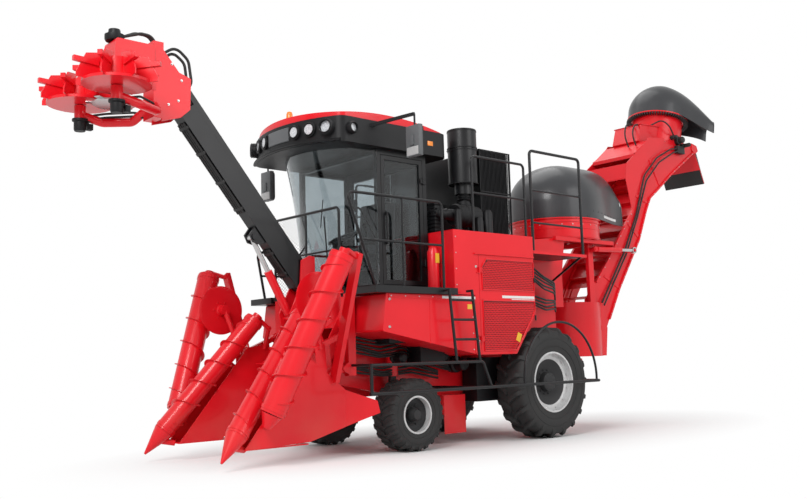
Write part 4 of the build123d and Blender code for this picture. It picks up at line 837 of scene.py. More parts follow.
def banded(hood, place, high, out):
    # A new mesh with the band along the hood's foot and the bead round its mouth.
    mesh = bmesh.new()
    foot_band(mesh, hood, place, 0.0, high, out)
    add_tube(mesh, [place @ point for point in hood.ring(hood.trunk)], 0.009, 8)
    return mesh


mesh = banded(primary, primary_place, 0.045, 0.006)
bolts_round(mesh, primary_place @ Vector((0, 0, 0.022)), 0.720, spread(-pi + 0.1, -0.1, 22), 0.009)
for mirror in (1, -1):
    for station in spread(0.10, 1.15, 8):
        spot = primary.side_point(station, 0.115, 0.0)
        add_bolt(mesh, primary_place @ Vector((mirror * spot.x, spot.y, spot.z)), (mirror, 0.25, 0), 0.008)
finished("primary_hood_band", mesh, "extractor_hood", GREY)
mesh = banded(secondary, second_place, 0.030, 0.005)
finished("second_hood_band", mesh, "second_hood", GREY)

STRIP_OUT = 0.003
mesh = bmesh.new()
for mirror in (1, -1):
    hood_band(mesh, primary, primary_place, spread(0.50, 1.06, 8), 0.052, 0.092, STRIP_OUT, mirror)
    for low, high in ((0.17, 0.30), (0.30, 0.42)):
        rows = []
        for share in spread(0.0, 1.0, 4):
            angle = 0.10 + 0.55 * (low + (high - low) * share)
            ends = [primary.point(station, angle) for station in (1.225, 1.250)]
            out, lift = STRIP_OUT * cos(angle), STRIP_OUT * sin(angle)
            rows.append([primary_place @ Vector((mirror * (p.x + out), p.y, p.z + lift)) for p in ends])
        strips(mesh, rows, close_ring=False)
finished("hood_strips", mesh, "extractor_hood", WHITE)

# %% [markdown]
# ## Wheel dishes, hubs and studs
# The barrels of the rims are pale, but the dishes inside them are dark, and each carries a ring of
# studs round its hub. A dark skin is turned two millimetres outside the dish. Studs are hexagons on
# washers, set round by a loop, because a wheel with no studs looks like a toy.


# %% Wheel dishes, hubs and studs
def pair(name, mesh, node, finish):
    # The same piece on both sides. Each rides on its own side's node, where there are two.
    for side, half in (("_left", mesh), ("_right", mirrored(mesh))):
        finished(name + side, half, node + side if node + side in BODY else node, finish)


def studs(mesh, centre, out, ring, count, size, side=1, phase=0.5):
    # Bolts in a ring round a sideways axis.
    for step in range(count):
        turn = 2 * pi * (step + phase) / count
        add_bolt(mesh, centre + Vector((out, ring * cos(turn), ring * sin(turn))), (side, 0, 0), size)


mesh = bmesh.new()
add_turned(mesh, [(0.098, 0.206), (0.098, 0.151), (0.064, 0.101), (0.064, 0.087)], FRONT_HUB, LEFT, 64)
add_turned(mesh, [(0.064, 0.092), (0.120, 0.080), (0.150, 0.062), (0.172, 0.058), (0.176, 0.030),
                  (0.176, 0.0)], FRONT_HUB, LEFT, 40)
studs(mesh, FRONT_HUB, 0.080, 0.124, 8, 0.013)
pair("front_dish", mesh, "front_rim", CAST)
mesh = bmesh.new()
add_turned(mesh, [(0.128, 0.306), (0.063, 0.190), (0.063, 0.133), (0.137, 0.123), (0.153, 0.091),
                  (0.157, 0.060), (0.157, 0.0)], REAR_HUB, LEFT, 72)
studs(mesh, REAR_HUB, 0.063, 0.162, 12, 0.015)
studs(mesh, REAR_HUB, 0.146, 0.104, 10, 0.008)
pair("rear_dish", mesh, "rear_rim", CAST)
mesh = bmesh.new()
studs(mesh, REAR_HUB, 0.140, 0.352, 12, 0.012)
pair("rim_studs", mesh, "rear_rim", STEEL)

# %% [markdown]
# ## Perforated engine doors
# The engine breathes through two punched panels in each side door. Cells of a honeycomb, each a
# hexagon with a hexagonal hole, tile the panel with no gaps, and a cell is left out where its middle
# falls outside the panel's outline. A black sheet just behind the holes is painted shade: it stands
# in for the dark engine bay behind the door and gives the holes their depth.


# %% Perforated engine doors
DOOR_X = 1.250
HOLE_PITCH, HOLE = 0.027, 0.0095
UPPER_PANEL = ((0.950, 1.965), (1.915, 1.965), (1.915, 2.330), (1.030, 2.330), (0.950, 2.230))
LOWER_PANEL = ((0.950, 1.195), (1.530, 1.195), (1.915, 1.680), (1.915, 1.800), (0.950, 1.800))


def inside(point, outline):
    # Whether a (station, z) point lies within the outline: count the edges that a ray crosses.
    held = False
    for (y0, z0), (y1, z1) in zip(outline, outline[1:] + outline[:1]):
        if (z0 > point[1]) != (z1 > point[1]) and point[0] < (y1 - y0) * (point[1] - z0) / (z1 - z0) + y0:
            held = not held
    return held


def punched(mesh, outline, x, pitch, hole):
    # Adds the honeycomb and returns how many holes it has.
    lows = [min(p[axis] for p in outline) for axis in (0, 1)]
    highs = [max(p[axis] for p in outline) for axis in (0, 1)]
    rise = pitch * sqrt(3) / 2
    made = 0
    for row in range(int((highs[1] - lows[1]) / rise) + 2):
        for column in range(int((highs[0] - lows[0]) / pitch) + 2):
            y = lows[0] + (column + 0.5 * (row % 2)) * pitch
            z = lows[1] + row * rise
            if not inside((y, z), outline):
                continue
            made += 1
            ways = [(sin(radians(60 * step)), cos(radians(60 * step))) for step in range(6)]
            outer = [mesh.verts.new(at(x, y + w * pitch / sqrt(3), z + h * pitch / sqrt(3))) for w, h in ways]
            inner = [mesh.verts.new(at(x, y + w * hole, z + h * hole)) for w, h in ways]
            for step in range(6):
                after = (step + 1) % 6
                mesh.faces.new([outer[step], outer[after], inner[after], inner[step]])
    bmesh.ops.remove_doubles(mesh, verts=mesh.verts, dist=0.0004)
    return made


def grown(outline, reach):
    # The same outline pushed out from its middle.
    middle = [sum(p[axis] for p in outline) / len(outline) for axis in (0, 1)]
    return [tuple(v + reach * (1 if v > m else -1) for v, m in zip(p, middle)) for p in outline]


mesh = bmesh.new()
for outline in (UPPER_PANEL, LOWER_PANEL):
    print("holes", punched(mesh, outline, DOOR_X + 0.007, HOLE_PITCH, HOLE))
pair("door_grille", mesh, "engine_door", RED)
# A black sheet just behind the holes: painted shade standing in for the dark engine bay.
mesh = bmesh.new()
for outline in (UPPER_PANEL, LOWER_PANEL):
    add_prism(mesh, grown(outline, 0.004), DOOR_X + 0.0005, DOOR_X + 0.0020)
pair("door_painted_shade", mesh, "engine_door", BLACK)
mesh = bmesh.new()
for outline in (UPPER_PANEL, LOWER_PANEL):
    edge = grown(outline, 0.014)
    line = [at(DOOR_X + 0.005, y, z) for y, z in edge + edge[:2]]
    add_tube(mesh, line, 0.010, 6)
for z in (1.822, 1.938):
    add_box(mesh, at(DOOR_X - 0.001, 0.895, z), at(DOOR_X + 0.006, 1.935, z + 0.006))
add_box(mesh, at(DOOR_X - 0.002, 0.80, 2.396), at(DOOR_X + 0.022, 1.935, 2.412))
pair("door_frames", mesh, "engine_door", RED)
mesh = bmesh.new()
add_box(mesh, at(DOOR_X - 0.0005, 1.30, 1.850), at(DOOR_X + 0.003, 1.930, 1.884))
add_box(mesh, at(DOOR_X - 0.0005, 1.48, 1.832), at(DOOR_X + 0.003, 1.930, 1.842))
pair("door_stripe", mesh, "engine_door", WHITE)
mesh = bmesh.new()
add_box(mesh, at(DOOR_X - 0.001, 1.545, 1.290), at(DOOR_X + 0.009, 1.625, 1.400),
        Matrix.Rotation(radians(-25), 3, "X"))
pair("door_label", mesh, "engine_door", YELLOW)
mesh = bmesh.new()
for z in (1.60, 2.10):
    add_box(mesh, at(DOOR_X, 1.925, z - 0.035), at(DOOR_X + 0.016, 1.943, z + 0.035), edge=0.004)
pair("door_latches", mesh, "engine_door", BLACK)

# %% [markdown]
# ## Panels between the cab and the engine
# The tank's top edge is a folded lip held by bolts, with a pale stripe and blank yellow film at its
# rear end. They are thin strips that stand a few millimetres off the red steel.


# %% Tank lip, stripe and plates
mesh = bmesh.new()
add_box(mesh, at(1.249, -0.640, 1.815), at(1.258, 0.780, 1.866), edge=0.002)
add_box(mesh, at(1.249, 0.770, 1.150), at(1.256, 0.790, 1.815))
add_box(mesh, at(1.249, 0.005, 1.275), at(1.253, 0.012, 1.815))
pair("tank_lip", mesh, "engine_bay", RED)
mesh = bmesh.new()
add_box(mesh, at(1.256, 0.215, 1.824), at(1.2605, 0.790, 1.856))
for mirror in (1, -1):
    for y, z in ((-0.62, 1.80), (-0.63, 1.48), (0.83, 2.24), (0.84, 1.30)):
        add_turned(mesh, [(0, 0.017), (0.009, 0.015), (0.011, 0.0)], at(mirror * DOOR_X, y, z),
                   (mirror, 0, 0), 16, cap=True)
pair("side_stripes", mesh, "engine_bay", WHITE)
mesh = bmesh.new()
for mirror in (1, -1):
    for y in spread(-0.60, 0.72, 7):
        add_bolt(mesh, at(mirror * 1.258, y, 1.840), (mirror, 0, 0), 0.008)
    for z in spread(1.20, 2.60, 8):
        add_bolt(mesh, at(mirror * DOOR_X, 0.485 if z > 1.9 else 0.745, z), (mirror, 0, 0), 0.008)
finished("side_bolts", mesh, "engine_bay", STEEL)
mesh = bmesh.new()
add_box(mesh, at(1.2495, 0.655, 1.700), at(1.2525, 0.735, 1.760))
add_box(mesh, at(1.074, 0.300, 2.280), at(1.077, 0.365, 2.400))
finished("yellow_plates", mesh, "engine_bay", YELLOW)
mesh = bmesh.new()
add_turned(mesh, [(0.0, 0.0), (0.0, 0.066), (0.020, 0.072), (0.470, 0.072), (0.530, 0.045), (0.545, 0.0)],
           at(1.000, 0.330, 1.952), UP, 32)
finished("red_bottle", mesh, "engine_bay", RED)

# %% [markdown]
# ## Wire mesh in the guard
# The rail in front of the windscreen is filled with woven wire, which keeps cane off the glass. Two
# families of thin slanting bars make its diamonds. They are flat strips with four sides, because
# at this size a round wire would only cost faces.


# %% Wire mesh in the guard
def wire_mesh(mesh, y, x0, x1, z0, z1, pitch, slope, thick):
    # Slanting wires in a window, cut at its top and bottom, and the same wires turned over.
    rise = (x1 - x0) * slope
    for way in (1, -1):
        count = int((z1 - z0 + rise) / pitch)
        for step in range(count):
            low = z0 - rise + (step + 0.5) * pitch
            start, end = [x0, low], [x1, low + rise]
            if start[1] < z0:
                start = [x0 + (z0 - low) / slope, z0]
            if end[1] > z1:
                end = [x0 + (z1 - low) / slope, z1]
            if end[0] <= start[0]:
                continue
            line = [at(x if way > 0 else x0 + x1 - x, y + way * thick, z) for x, z in (start, end)]
            add_tube(mesh, line, thick, 4)


GUARD_Y, GUARD_FOOT, GUARD_HEAD = -0.830, 1.945, 2.940
mesh = bmesh.new()
wire_mesh(mesh, GUARD_Y, -0.760, 0.590, GUARD_FOOT, GUARD_HEAD, 0.042, 0.62, 0.0016)
finished("guard_mesh", mesh, "handrails", CAST)
mesh = bmesh.new()
add_box(mesh, at(-0.765, GUARD_Y - 0.008, 2.432), at(0.595, GUARD_Y + 0.008, 2.448))
add_box(mesh, at(-0.09, GUARD_Y - 0.008, GUARD_FOOT), at(-0.066, GUARD_Y + 0.008, GUARD_HEAD))
finished("guard_bars", mesh, "handrails", BLACK)

# %% [markdown]
# ## Engine deck
# The tall can is the air intake's cleaner. A band divides its two halves, and a ribbed rubber duct
# leads down from it to the filter and the engine. The cooling screen beside it is a comb of upright
# bars. All of it is black on black, so it reads by its ribs and its edges.


# %% Engine deck
def ribbed(mesh, points, radius, ribs, bend):
    # A hose with ribs: its radius rises and falls along its length.
    line = rounded(points, bend, 8)
    dense = []
    for first, second in zip(line, line[1:]):
        count = max(1, int((second - first).length / 0.010))
        dense += [first.lerp(second, step / count) for step in range(count)]
    dense.append(line[-1])
    add_tube(mesh, dense, lambda share: radius * (1 + 0.10 * cos(share * ribs * 2 * pi)), 18)


STACK = at(0.800, 1.120, 0)
mesh = bmesh.new()
for z, out in ((3.392, 0.202), (3.840, 0.200), (3.872, 0.203), (4.100, 0.199)):
    add_band(mesh, z - 0.008, z + 0.008, 0.190, out, STACK, UP, 64)
add_turned(mesh, [(4.118, 0.190), (4.132, 0.150), (4.138, 0.0)], STACK, UP, 64)
bolts_round(mesh, STACK + Vector((0, 0, 3.856)), 0.204, full_turn(10), 0.008)
finished("cleaner_bands", mesh, "cooling_pack", TRIM)
mesh = bmesh.new()
ribbed(mesh, path((0.800, 1.120, 3.30), (0.800, 1.120, 3.12), (0.950, 0.980, 2.98)), 0.085, 11, 0.08)
add_turned(mesh, [(0, 0.0), (0, 0.135), (0.03, 0.150), (0.05, 0.140), (0.16, 0.140), (0.17, 0.150),
                  (0.20, 0.150), (0.21, 0.140), (0.40, 0.140), (0.42, 0.120), (0.43, 0.0)],
           at(0.960, 0.760, 2.930), (0, 1, 0), 48)
ribbed(mesh, path((0.960, 0.800, 2.93), (0.960, 0.620, 2.93), (0.780, 0.560, 2.98), (0.600, 0.700, 3.00)),
       0.070, 14, 0.10)
for z in spread(2.72, 3.06, 8):
    add_box(mesh, at(0.700, 0.500, z), at(0.880, 0.640, z + 0.024), edge=0.006)
add_box(mesh, at(0.715, 0.515, 2.70), at(0.865, 0.625, 3.09))
for x, y, r, z in ((1.10, 0.70, 0.045, 2.98), (1.12, 1.06, 0.055, 2.90),
                   (1.06, 1.28, 0.070, 3.02), (0.56, 0.60, 0.06, 3.20)):
    add_turned(mesh, [(2.69, r + 0.01), (2.72, r), (z - 0.04, r), (z, r * 0.7), (z, 0.0)],
               at(x, y, 0), UP, 24)
finished("intake_parts", mesh, "cooling_pack", TRIM)
SCREEN_FRONT, SCREEN_FOOT, SCREEN_HEAD = 1.318, 2.735, 3.884
mesh = bmesh.new()
for mirror in (1, -1):
    face, rail, post = mirror * 0.9065, mirror * 0.9165, mirror * 0.893
    for y in [1.330 + step * 0.026 for step in range(23)]:
        add_box(mesh, at(face - 0.0015, y, 2.745), at(face + 0.010, y + 0.008, 3.875))
    for z in (SCREEN_FOOT, 3.30, 3.868):
        add_box(mesh, at(rail - 0.002, SCREEN_FRONT, z), at(rail + 0.006, 1.925, z + 0.016))
    for y in (SCREEN_FRONT, 1.915):
        add_box(mesh, at(face - 0.002, y, SCREEN_FOOT), at(face + 0.016, y + 0.012, SCREEN_HEAD))
    add_box(mesh, at(post - 0.014, SCREEN_FRONT, SCREEN_FOOT), at(post + 0.014, 1.392, SCREEN_HEAD))
finished("screen_bars", mesh, "cooling_pack", TRIM)

# %% [markdown]
# ## The elevator's head
# Over the head the side plates swell forward round a dark window, and a closed box reaches from it
# to the second extractor. Toothed ring, motor, hoses and latch sit round the collar. The rubber
# flap hangs from the mouth. The plates are prisms from their side outlines, as the sheets were cut.


# %% Elevator head
def offset_line(line, gap):
    # The (station, z) line moved sideways by a gap.
    made = []
    for index, (y, z) in enumerate(line):
        before, after = line[max(index - 1, 0)], line[min(index + 1, len(line) - 1)]
        run, rise = after[0] - before[0], after[1] - before[1]
        made.append((y - gap * rise / hypot(run, rise), z + gap * run / hypot(run, rise)))
    return made


def edge_strip(mesh, line, gap, x0, x1):
    # A strip that follows a line and is as wide as the gap.
    add_prism(mesh, line + offset_line(line, gap)[::-1], x0, x1)


SHEET_X = 0.420
STRIP_X = 0.446
CHEEK = ((5.50, 3.50), (5.375, 4.00), (5.430, 4.270), (5.660, 4.440), (6.070, 4.745), (6.120, 4.80),
         (6.620, 4.86), (6.620, 4.75), (5.920, 4.30), (5.790, 3.985))
FRONT_EDGE = [(4.40, 2.234), (4.71, 2.56), (5.50, 3.47)]
REAR_EDGE = [(4.72, 1.635), (5.02, 2.12), (5.66, 2.97), (5.93, 3.51), (6.06, 3.72), (6.30, 3.88),
             (6.78, 4.22), (7.57, 4.71)]
STIFFENERS = (((4.62, 2.32), (5.00, 2.14)), ((5.32, 3.26), (5.62, 3.02)),
              ((5.62, 3.72), (5.96, 3.62)), ((6.10, 4.40), (6.36, 3.98)))
mesh = bmesh.new()
for mirror in (1, -1):
    add_prism(mesh, CHEEK, mirror * 0.4205, mirror * 0.4285)
    edge_strip(mesh, FRONT_EDGE, -0.030, mirror * SHEET_X, mirror * STRIP_X)
    edge_strip(mesh, REAR_EDGE, 0.030, mirror * SHEET_X, mirror * STRIP_X)
    for (y0, z0), (y1, z1) in STIFFENERS:
        add_prism(mesh, [(y0, z0), (y0 + 0.05, z0 + 0.03), (y1 + 0.05, z1 + 0.03), (y1, z1)],
                  mirror * SHEET_X, mirror * 0.432)
for half, outline in (
        (0.42, ((5.640, 4.390), (5.640, 4.450), (5.700, 4.485), (5.700, 4.425))),
        (0.42, ((5.660, 4.452), (6.070, 4.742), (6.080, 4.730), (5.668, 4.438))),
        (0.42, ((5.370, 4.000), (5.430, 4.265), (5.442, 4.262), (5.382, 3.998))),
        (0.43, ((5.365, 3.990), (5.365, 4.020), (5.40, 4.02), (5.40, 3.99))),
        (0.27, ((6.155, 5.070), (6.045, 4.770), (6.100, 4.735), (6.640, 4.800), (6.700, 5.100))),
        (0.29, ((6.150, 5.070), (6.700, 5.100), (6.700, 5.112), (6.140, 5.084)))):
    add_prism(mesh, outline, -half, half)
add_prism(mesh, [(7.50, 4.88), (7.66, 4.85), (7.70, 4.76), (7.62, 4.70), (7.50, 4.74)], 0.421, 0.437)
finished("elevator_head_sheets", mesh, "elevator", RED)
mesh = bmesh.new()
for line in (offset_line(FRONT_EDGE, -0.015), offset_line(REAR_EDGE, 0.015)):
    for (y0, z0), (y1, z1) in zip(line, line[1:]):
        count = int(hypot(y1 - y0, z1 - z0) / 0.16)
        for step in range(count):
            share = (step + 0.5) / count
            for mirror in (1, -1):
                add_bolt(mesh, at(mirror * STRIP_X, y0 + share * (y1 - y0), z0 + share * (z1 - z0)),
                         (mirror, 0, 0), 0.009)
finished("elevator_bolts", mesh, "elevator", STEEL)
mesh = bmesh.new()
for turn in full_turn(72):
    wheel = second_ring_place @ Matrix.Rotation(turn, 4, "Z")
    corners = [(0.470, -0.010), (0.550, -0.010), (0.550, 0.010), (0.470, 0.010)]
    strips(mesh, [[wheel @ Vector((x, y, z)) for x, y in corners] for z in (-0.062, -0.022)])
finished("slew_teeth", mesh, "elevator", CAST)
mesh = bmesh.new()
FLAP = [(7.625, 4.845), (7.690, 4.700), (7.800, 4.420), (7.905, 4.175)]
for gap in (0.012, -0.022):
    edge_strip(mesh, FLAP, gap, -0.402, 0.402)
finished("mouth_flap", mesh, "elevator", HOSE)
mesh = bmesh.new()
for y, z, r, reach in ((7.02, 4.86, 0.075, 0.15), (7.16, 4.78, 0.045, 0.19), (6.86, 4.90, 0.040, 0.12)):
    add_turned(mesh, [(0, r), (0.06, r), (0.07, r * 0.8), (reach - 0.02, r * 0.8), (reach, r * 0.6),
                      (reach, 0.0)], at(SHEET_X, y, z), LEFT, 28)
add_box(mesh, at(0.425, 6.93, 4.62), at(0.500, 7.15, 4.76), edge=0.01)
for points in (
        ((0.47, 6.96, 4.7), (0.5, 6.70, 4.66), (0.46, 6.30, 4.46), (0.445, 5.90, 4.10), (0.445, 5.60, 3.40)),
        ((0.47, 7.1, 4.7), (0.51, 6.75, 4.60), (0.47, 6.34, 4.38), (0.450, 5.95, 4.02), (0.450, 5.62, 3.36)),
        ((0.45, 6.90, 4.93), (0.50, 6.70, 5.08), (0.40, 6.62, 5.20), (0.20, 6.50, 5.10)),
        ((0.20, 6.30, 5.10), (0.22, 6.02, 5.06), (0.24, 5.92, 4.86), (0.26, 5.98, 4.68)),
        ((0.08, 6.30, 5.10), (0.10, 5.96, 5.10), (0.12, 5.86, 4.86), (0.14, 5.94, 4.66)),
        ((0.445, 5.60, 3.40), (0.450, 5.20, 2.76), (0.450, 4.80, 2.26), (0.46, 4.50, 1.90)),
        ((0.450, 5.62, 3.36), (0.455, 5.24, 2.72), (0.455, 4.84, 2.22), (0.47, 4.54, 1.86))):
    add_tube(mesh, rounded(path(*points), 0.30, 6), 0.013, 10)
finished("elevator_hoses", mesh, "elevator", HOSE)

# %% [markdown]
# ## Under the body
# Between the wheels hang the drive motors, the hose bundles and the belly of the final drives. All of
# it is in shade. The hoses are black rubber, and the near-black finish of the motors and the belly is
# partly their own colour and partly painted shade. Bundles are several tubes that run side by side
# with small dips.


# %% Under the body
def bundle(mesh, points, count, gap, radius, sway):
    # Tubes one above the other along the same way, each with small dips of its own.
    for step in range(count):
        line = []
        for index, point in enumerate(points):
            shift = (step - (count - 1) / 2) * gap + sway * sin(2.1 * index + 1.3 * step)
            line.append(point + Vector((0, 0, shift)))
        add_tube(mesh, rounded(line, 0.25, 5), radius, 8)


mesh = bmesh.new()
bundle(mesh, path((0.62, -0.70, 1.30), (0.66, -0.30, 1.22), (0.64, 0.10, 1.26), (0.60, 0.55, 1.12),
                  (0.55, 1.00, 1.02)), 6, 0.036, 0.014, 0.012)
bundle(mesh, path((0.50, -0.62, 1.02), (0.60, -0.20, 0.95), (0.56, 0.30, 1.00), (0.52, 0.80, 0.90)),
       4, 0.034, 0.014, 0.014)
bundle(mesh, path((0.47, -0.60, 1.50), (0.53, -0.10, 1.44), (0.53, 0.40, 1.48), (0.49, 0.78, 1.40)),
       4, 0.036, 0.012, 0.010)
pair("belly_hoses", mesh, "chassis_frame", HOSE)
# Motor and final-drive housings in near-black trim, partly their own colour and partly painted shade under
# the body.
mesh = bmesh.new()
add_box(mesh, at(0.46, 1.30, 0.520), at(0.74, 1.98, 1.10), edge=0.03)
add_box(mesh, at(0.60, 0.20, 1.02), at(0.86, 0.62, 1.30), edge=0.02)
add_box(mesh, at(0.62, -0.34, 1.30), at(0.90, 0.10, 1.46), edge=0.02)
for y, z, r in ((0.02, 1.12, 0.085), (0.72, 1.14, 0.10), (1.08, 1.02, 0.11)):
    add_turned(mesh, [(0, r), (0.10, r), (0.12, r * 0.8), (0.24, r * 0.75), (0.26, r * 0.5), (0.26, 0.0)],
               at(0.50, y, z), LEFT, 28)
pair("belly_parts_painted_shade", mesh, "chassis_frame", TRIM)

# %% [markdown]
# ## Covers on the extractor's step
# The step beside the extractor is black steel, but a red sheet with a turned-down edge lies on it.


# %% Red covers and ring bands
mesh = bmesh.new()
for mirror in (1, -1):
    add_prism(mesh, ((1.985, 2.502), (3.155, 2.502), (3.155, 2.512), (1.985, 2.512)),
              mirror * 0.582, mirror * 1.222)
    lip = mirror * 1.219
    add_box(mesh, at(lip - 0.0035, 1.985, 2.470), at(lip + 0.0035, 3.155, 2.512))
finished("step_covers", mesh, "extractor_base", RED)
mesh = bmesh.new()
for z, out in ((2.885, 0.712), (3.020, 0.706), (3.120, 0.714)):
    add_band(mesh, z - 0.010, z + 0.010, 0.700, out, RING_FOOT, UP, 96)
finished("ring_bands", mesh, "extractor_base", RED)
mesh = bmesh.new()
bolts_round(mesh, RING_FOOT + Vector((0, 0, 3.075)), 0.706, full_turn(26), 0.009)
finished("ring_bolts", mesh, "extractor_base", STEEL)

# %% [markdown]
# ## Lamps, panel and beacon on the roof
# The roof's front is bowed, so each lamp sits square to the bow: its place is found by turning about
# the bow's own centre. Every lens gets a black ring, and the outer ones a short barrel with fins.
# A blank grey panel lies between the lamps, and an amber beacon stands on its foot.


# %% Roof lamps, panel and beacon
BOW_RADIUS, BOW_Y, LAMP_Z = 1.6844, 0.4044, 3.860


def on_bow(x, out):
    # The point of the bowed front at a side distance, and the way out from it.
    lean = asin(x / BOW_RADIUS)
    way = Vector((sin(lean), -cos(lean), 0))
    return at(0, BOW_Y, LAMP_Z) + way * (BOW_RADIUS + out), way


def bowed_strip(mesh, half, count, section):
    # A strip along the bow. Its section is given by heights and by how far each point stands out.
    rings = []
    for x in spread(-half, half, count):
        lip, way = on_bow(x, 0.0)
        rings.append([Vector((lip.x, lip.y, z)) + way * out for z, out in section])
    strips(mesh, rings)


mesh = bmesh.new()
for x, r, barrel in ((0.320, 0.062, 0.030), (0.540, 0.062, 0.030), (0.760, 0.070, 0.075)):
    for mirror in (1, -1):
        place, way = on_bow(mirror * x, -0.004)
        add_turned(mesh, [(0, r + 0.002), (0, r + 0.026), (barrel, r + 0.022), (barrel + 0.016, r + 0.014),
                          (barrel + 0.016, r + 0.004), (0.030, r + 0.002)], place, way, 40)
        for fin in spread(0.010, barrel, 4):
            add_turned(mesh, [(fin, r + 0.020), (fin + 0.002, r + 0.029), (fin + 0.005, r + 0.029),
                              (fin + 0.007, r + 0.020)], place, way, 40)
for mirror in (1, -1):
    add_turned(mesh, [(0, 0.052), (0, 0.076), (0.060, 0.072), (0.074, 0.064), (0.074, 0.053), (0.040, 0.052)],
               at(mirror * 0.926, -0.870, 3.850), (mirror, 0, 0), 40)
bowed_strip(mesh, 0.905, 33, ((3.684, -0.03), (3.684, 0.035), (3.700, 0.045), (3.712, 0.035), (3.722, -0.03)))
finished("lamp_bezels", mesh, "cab_roof_band", TRIM)
mesh = bmesh.new()
bowed_strip(mesh, 0.215, 13, ((3.775, -0.004), (3.775, 0.008), (3.783, 0.014),
                              (3.937, 0.014), (3.945, 0.008), (3.945, -0.004)))
finished("roof_panel", mesh, "cab_roof_band", SILVER_GREY)
mesh = bmesh.new()
add_turned(mesh, [(0.0, 0.0), (0.0, 0.047), (0.012, 0.050), (0.018, 0.044), (0.075, 0.040),
                  (0.100, 0.030), (0.112, 0.0)], at(-0.300, -0.900, 4.205), UP, 36)
add_box(mesh, at(0.9285, 0.365, 3.800), at(0.9365, 0.455, 3.860), edge=0.003)
finished("beacon_and_marker", mesh, "cab_roof_cap", AMBER)

# %% [markdown]
# ## Mirrors
# A mirror case has a grey moulded front with a paler lower part, and its glass faces the rear. The
# left arm is a flat dark pressing round the rail that carries it.


# %% Mirrors
mesh = bmesh.new()
pale = bmesh.new()
for x, y, low, high in ((1.400, -0.280, 3.490, 3.860), (-1.330, -0.560, 3.330, 3.730)):
    add_box(mesh, at(x - 0.116, y - 0.044, low - 0.002), at(x + 0.116, y - 0.020, high + 0.004), edge=0.010)
    add_box(mesh, at(x - 0.119, y - 0.030, low - 0.004), at(x + 0.119, y + 0.020, high + 0.006), edge=0.012)
    add_box(mesh, at(x - 0.034, y - 0.062, low + 0.130), at(x + 0.034, y - 0.040, low + 0.250), edge=0.012)
    add_box(pale, at(x - 0.100, y - 0.050, low + 0.012), at(x + 0.100, y - 0.040, low + 0.112), edge=0.006)
    add_box(pale, at(x - 0.100, y + 0.034, low + 0.018), at(x + 0.100, y + 0.037, high - 0.018))
finished("mirror_cases", mesh, "handrails", SILVER_GREY)
finished("mirror_faces", pale, "handrails", PIPE)

# %% [markdown]
# ## Driver's place
# The seat's cushion and back are padded. A padded form is pressed from a block: its edges become
# rounds, its sides draw in between the corners, its middle swells, and sewn channels sink into it.
# A thin welt runs round its edge. The screen, the side console and the wiper are plain mouldings.


# %% Padded pieces
PULL = 0.020
EULER = 2.718
CHANNEL_DEPTH, CHANNEL_WIDTH = 0.011, 0.035


def pad(name, half, crown, edge, channels, place):
    # A padded block about its own middle: it swells along Z and draws in between its corners.
    mesh = bmesh.new()
    bmesh.ops.create_cube(mesh, size=2.0)
    bmesh.ops.subdivide_edges(mesh, edges=mesh.edges, cuts=31, use_grid_fill=True)
    for vert in mesh.verts:
        a, b, c = vert.co
        spot = Vector([share * size for share, size in zip((a, b, c), half)])
        core = Vector([max(edge - size, min(size - edge, value)) for value, size in zip(spot, half)])
        out = spot - core
        if out.length > 1e-6:
            spot = core + out.normalized() * min(edge, out.length)
        spot.x *= 1 - PULL * (1 - b * b) * (1 - c * c * 0.5)
        spot.y *= 1 - PULL * (1 - a * a) * (1 - c * c * 0.5)
        swell = crown * (1 - a * a) * (1 - b * b)
        if abs(b) < 0.86:
            swell -= sum(CHANNEL_DEPTH * EULER ** (-((a - line) / CHANNEL_WIDTH) ** 2) for line in channels)
        spot.z += swell if c > 0.6 else 0.0
        vert.co = place @ spot
    made = finished(name, mesh, "cab_interior", CLOTH, sharp=180)


def welt(mesh, half, height, place):
    # A cord sewn round the edge of a pad.
    line = []
    for turn in spread(0.0, 2 * pi, 73):
        a = max(-1.0, min(1.0, 1.18 * cos(turn)))
        b = max(-1.0, min(1.0, 1.18 * sin(turn)))
        line.append(place @ Vector((a * half[0] * (1 - PULL * (1 - b * b)),
                                    b * half[1] * (1 - PULL * (1 - a * a)), height)))
    add_tube(mesh, line, 0.005, 8, cap=False)


CUSHION_PLACE = Matrix.Translation(at(0, 0.030, 2.352))
LEANING = Matrix.Rotation(radians(-94.5), 4, "X") @ Matrix.Rotation(pi, 4, "Z")
BACK_PLACE = Matrix.Translation(at(0, 0.262, 2.790)) @ LEANING
pad("cushion", (0.290, 0.278, 0.108), 0.030, 0.034, (-0.45, 0.0, 0.45), CUSHION_PLACE)
pad("backrest", (0.272, 0.372, 0.092), 0.026, 0.036, (-0.42, 0.0, 0.42), BACK_PLACE)
mesh = bmesh.new()
welt(mesh, (0.283, 0.271), 0.082, CUSHION_PLACE)
welt(mesh, (0.265, 0.365), 0.066, BACK_PLACE)
for x in (0.320, -0.320):
    add_box(mesh, at(x - 0.066, -0.215, 2.545), at(x + 0.066, 0.262, 2.584), edge=0.014)
finished("welts_and_armrests", mesh, "cab_interior", HOSE)
mesh = bmesh.new()
add_box(mesh, at(0.180, -0.400, 2.960), at(0.400, -0.372, 3.110), edge=0.008)
add_tube(mesh, rounded(path((0.290, -0.372, 3.030), (0.290, -0.250, 3.030), (0.360, -0.060, 2.640)), 0.08),
         0.013, 10)
add_box(mesh, at(0.270, -0.300, 2.584), at(0.390, -0.020, 2.640), edge=0.014)
add_tube(mesh, rounded(path((0.330, -0.190, 2.630), (0.330, -0.190, 2.710), (0.325, -0.205, 2.770)), 0.02),
         0.015, 12)
add_turned(mesh, [(0, 0.018), (0.012, 0.030), (0.060, 0.030), (0.080, 0.016), (0.082, 0.0)],
           at(0.325, -0.205, 2.760), (0, -0.1, 1), 20, cap=True)
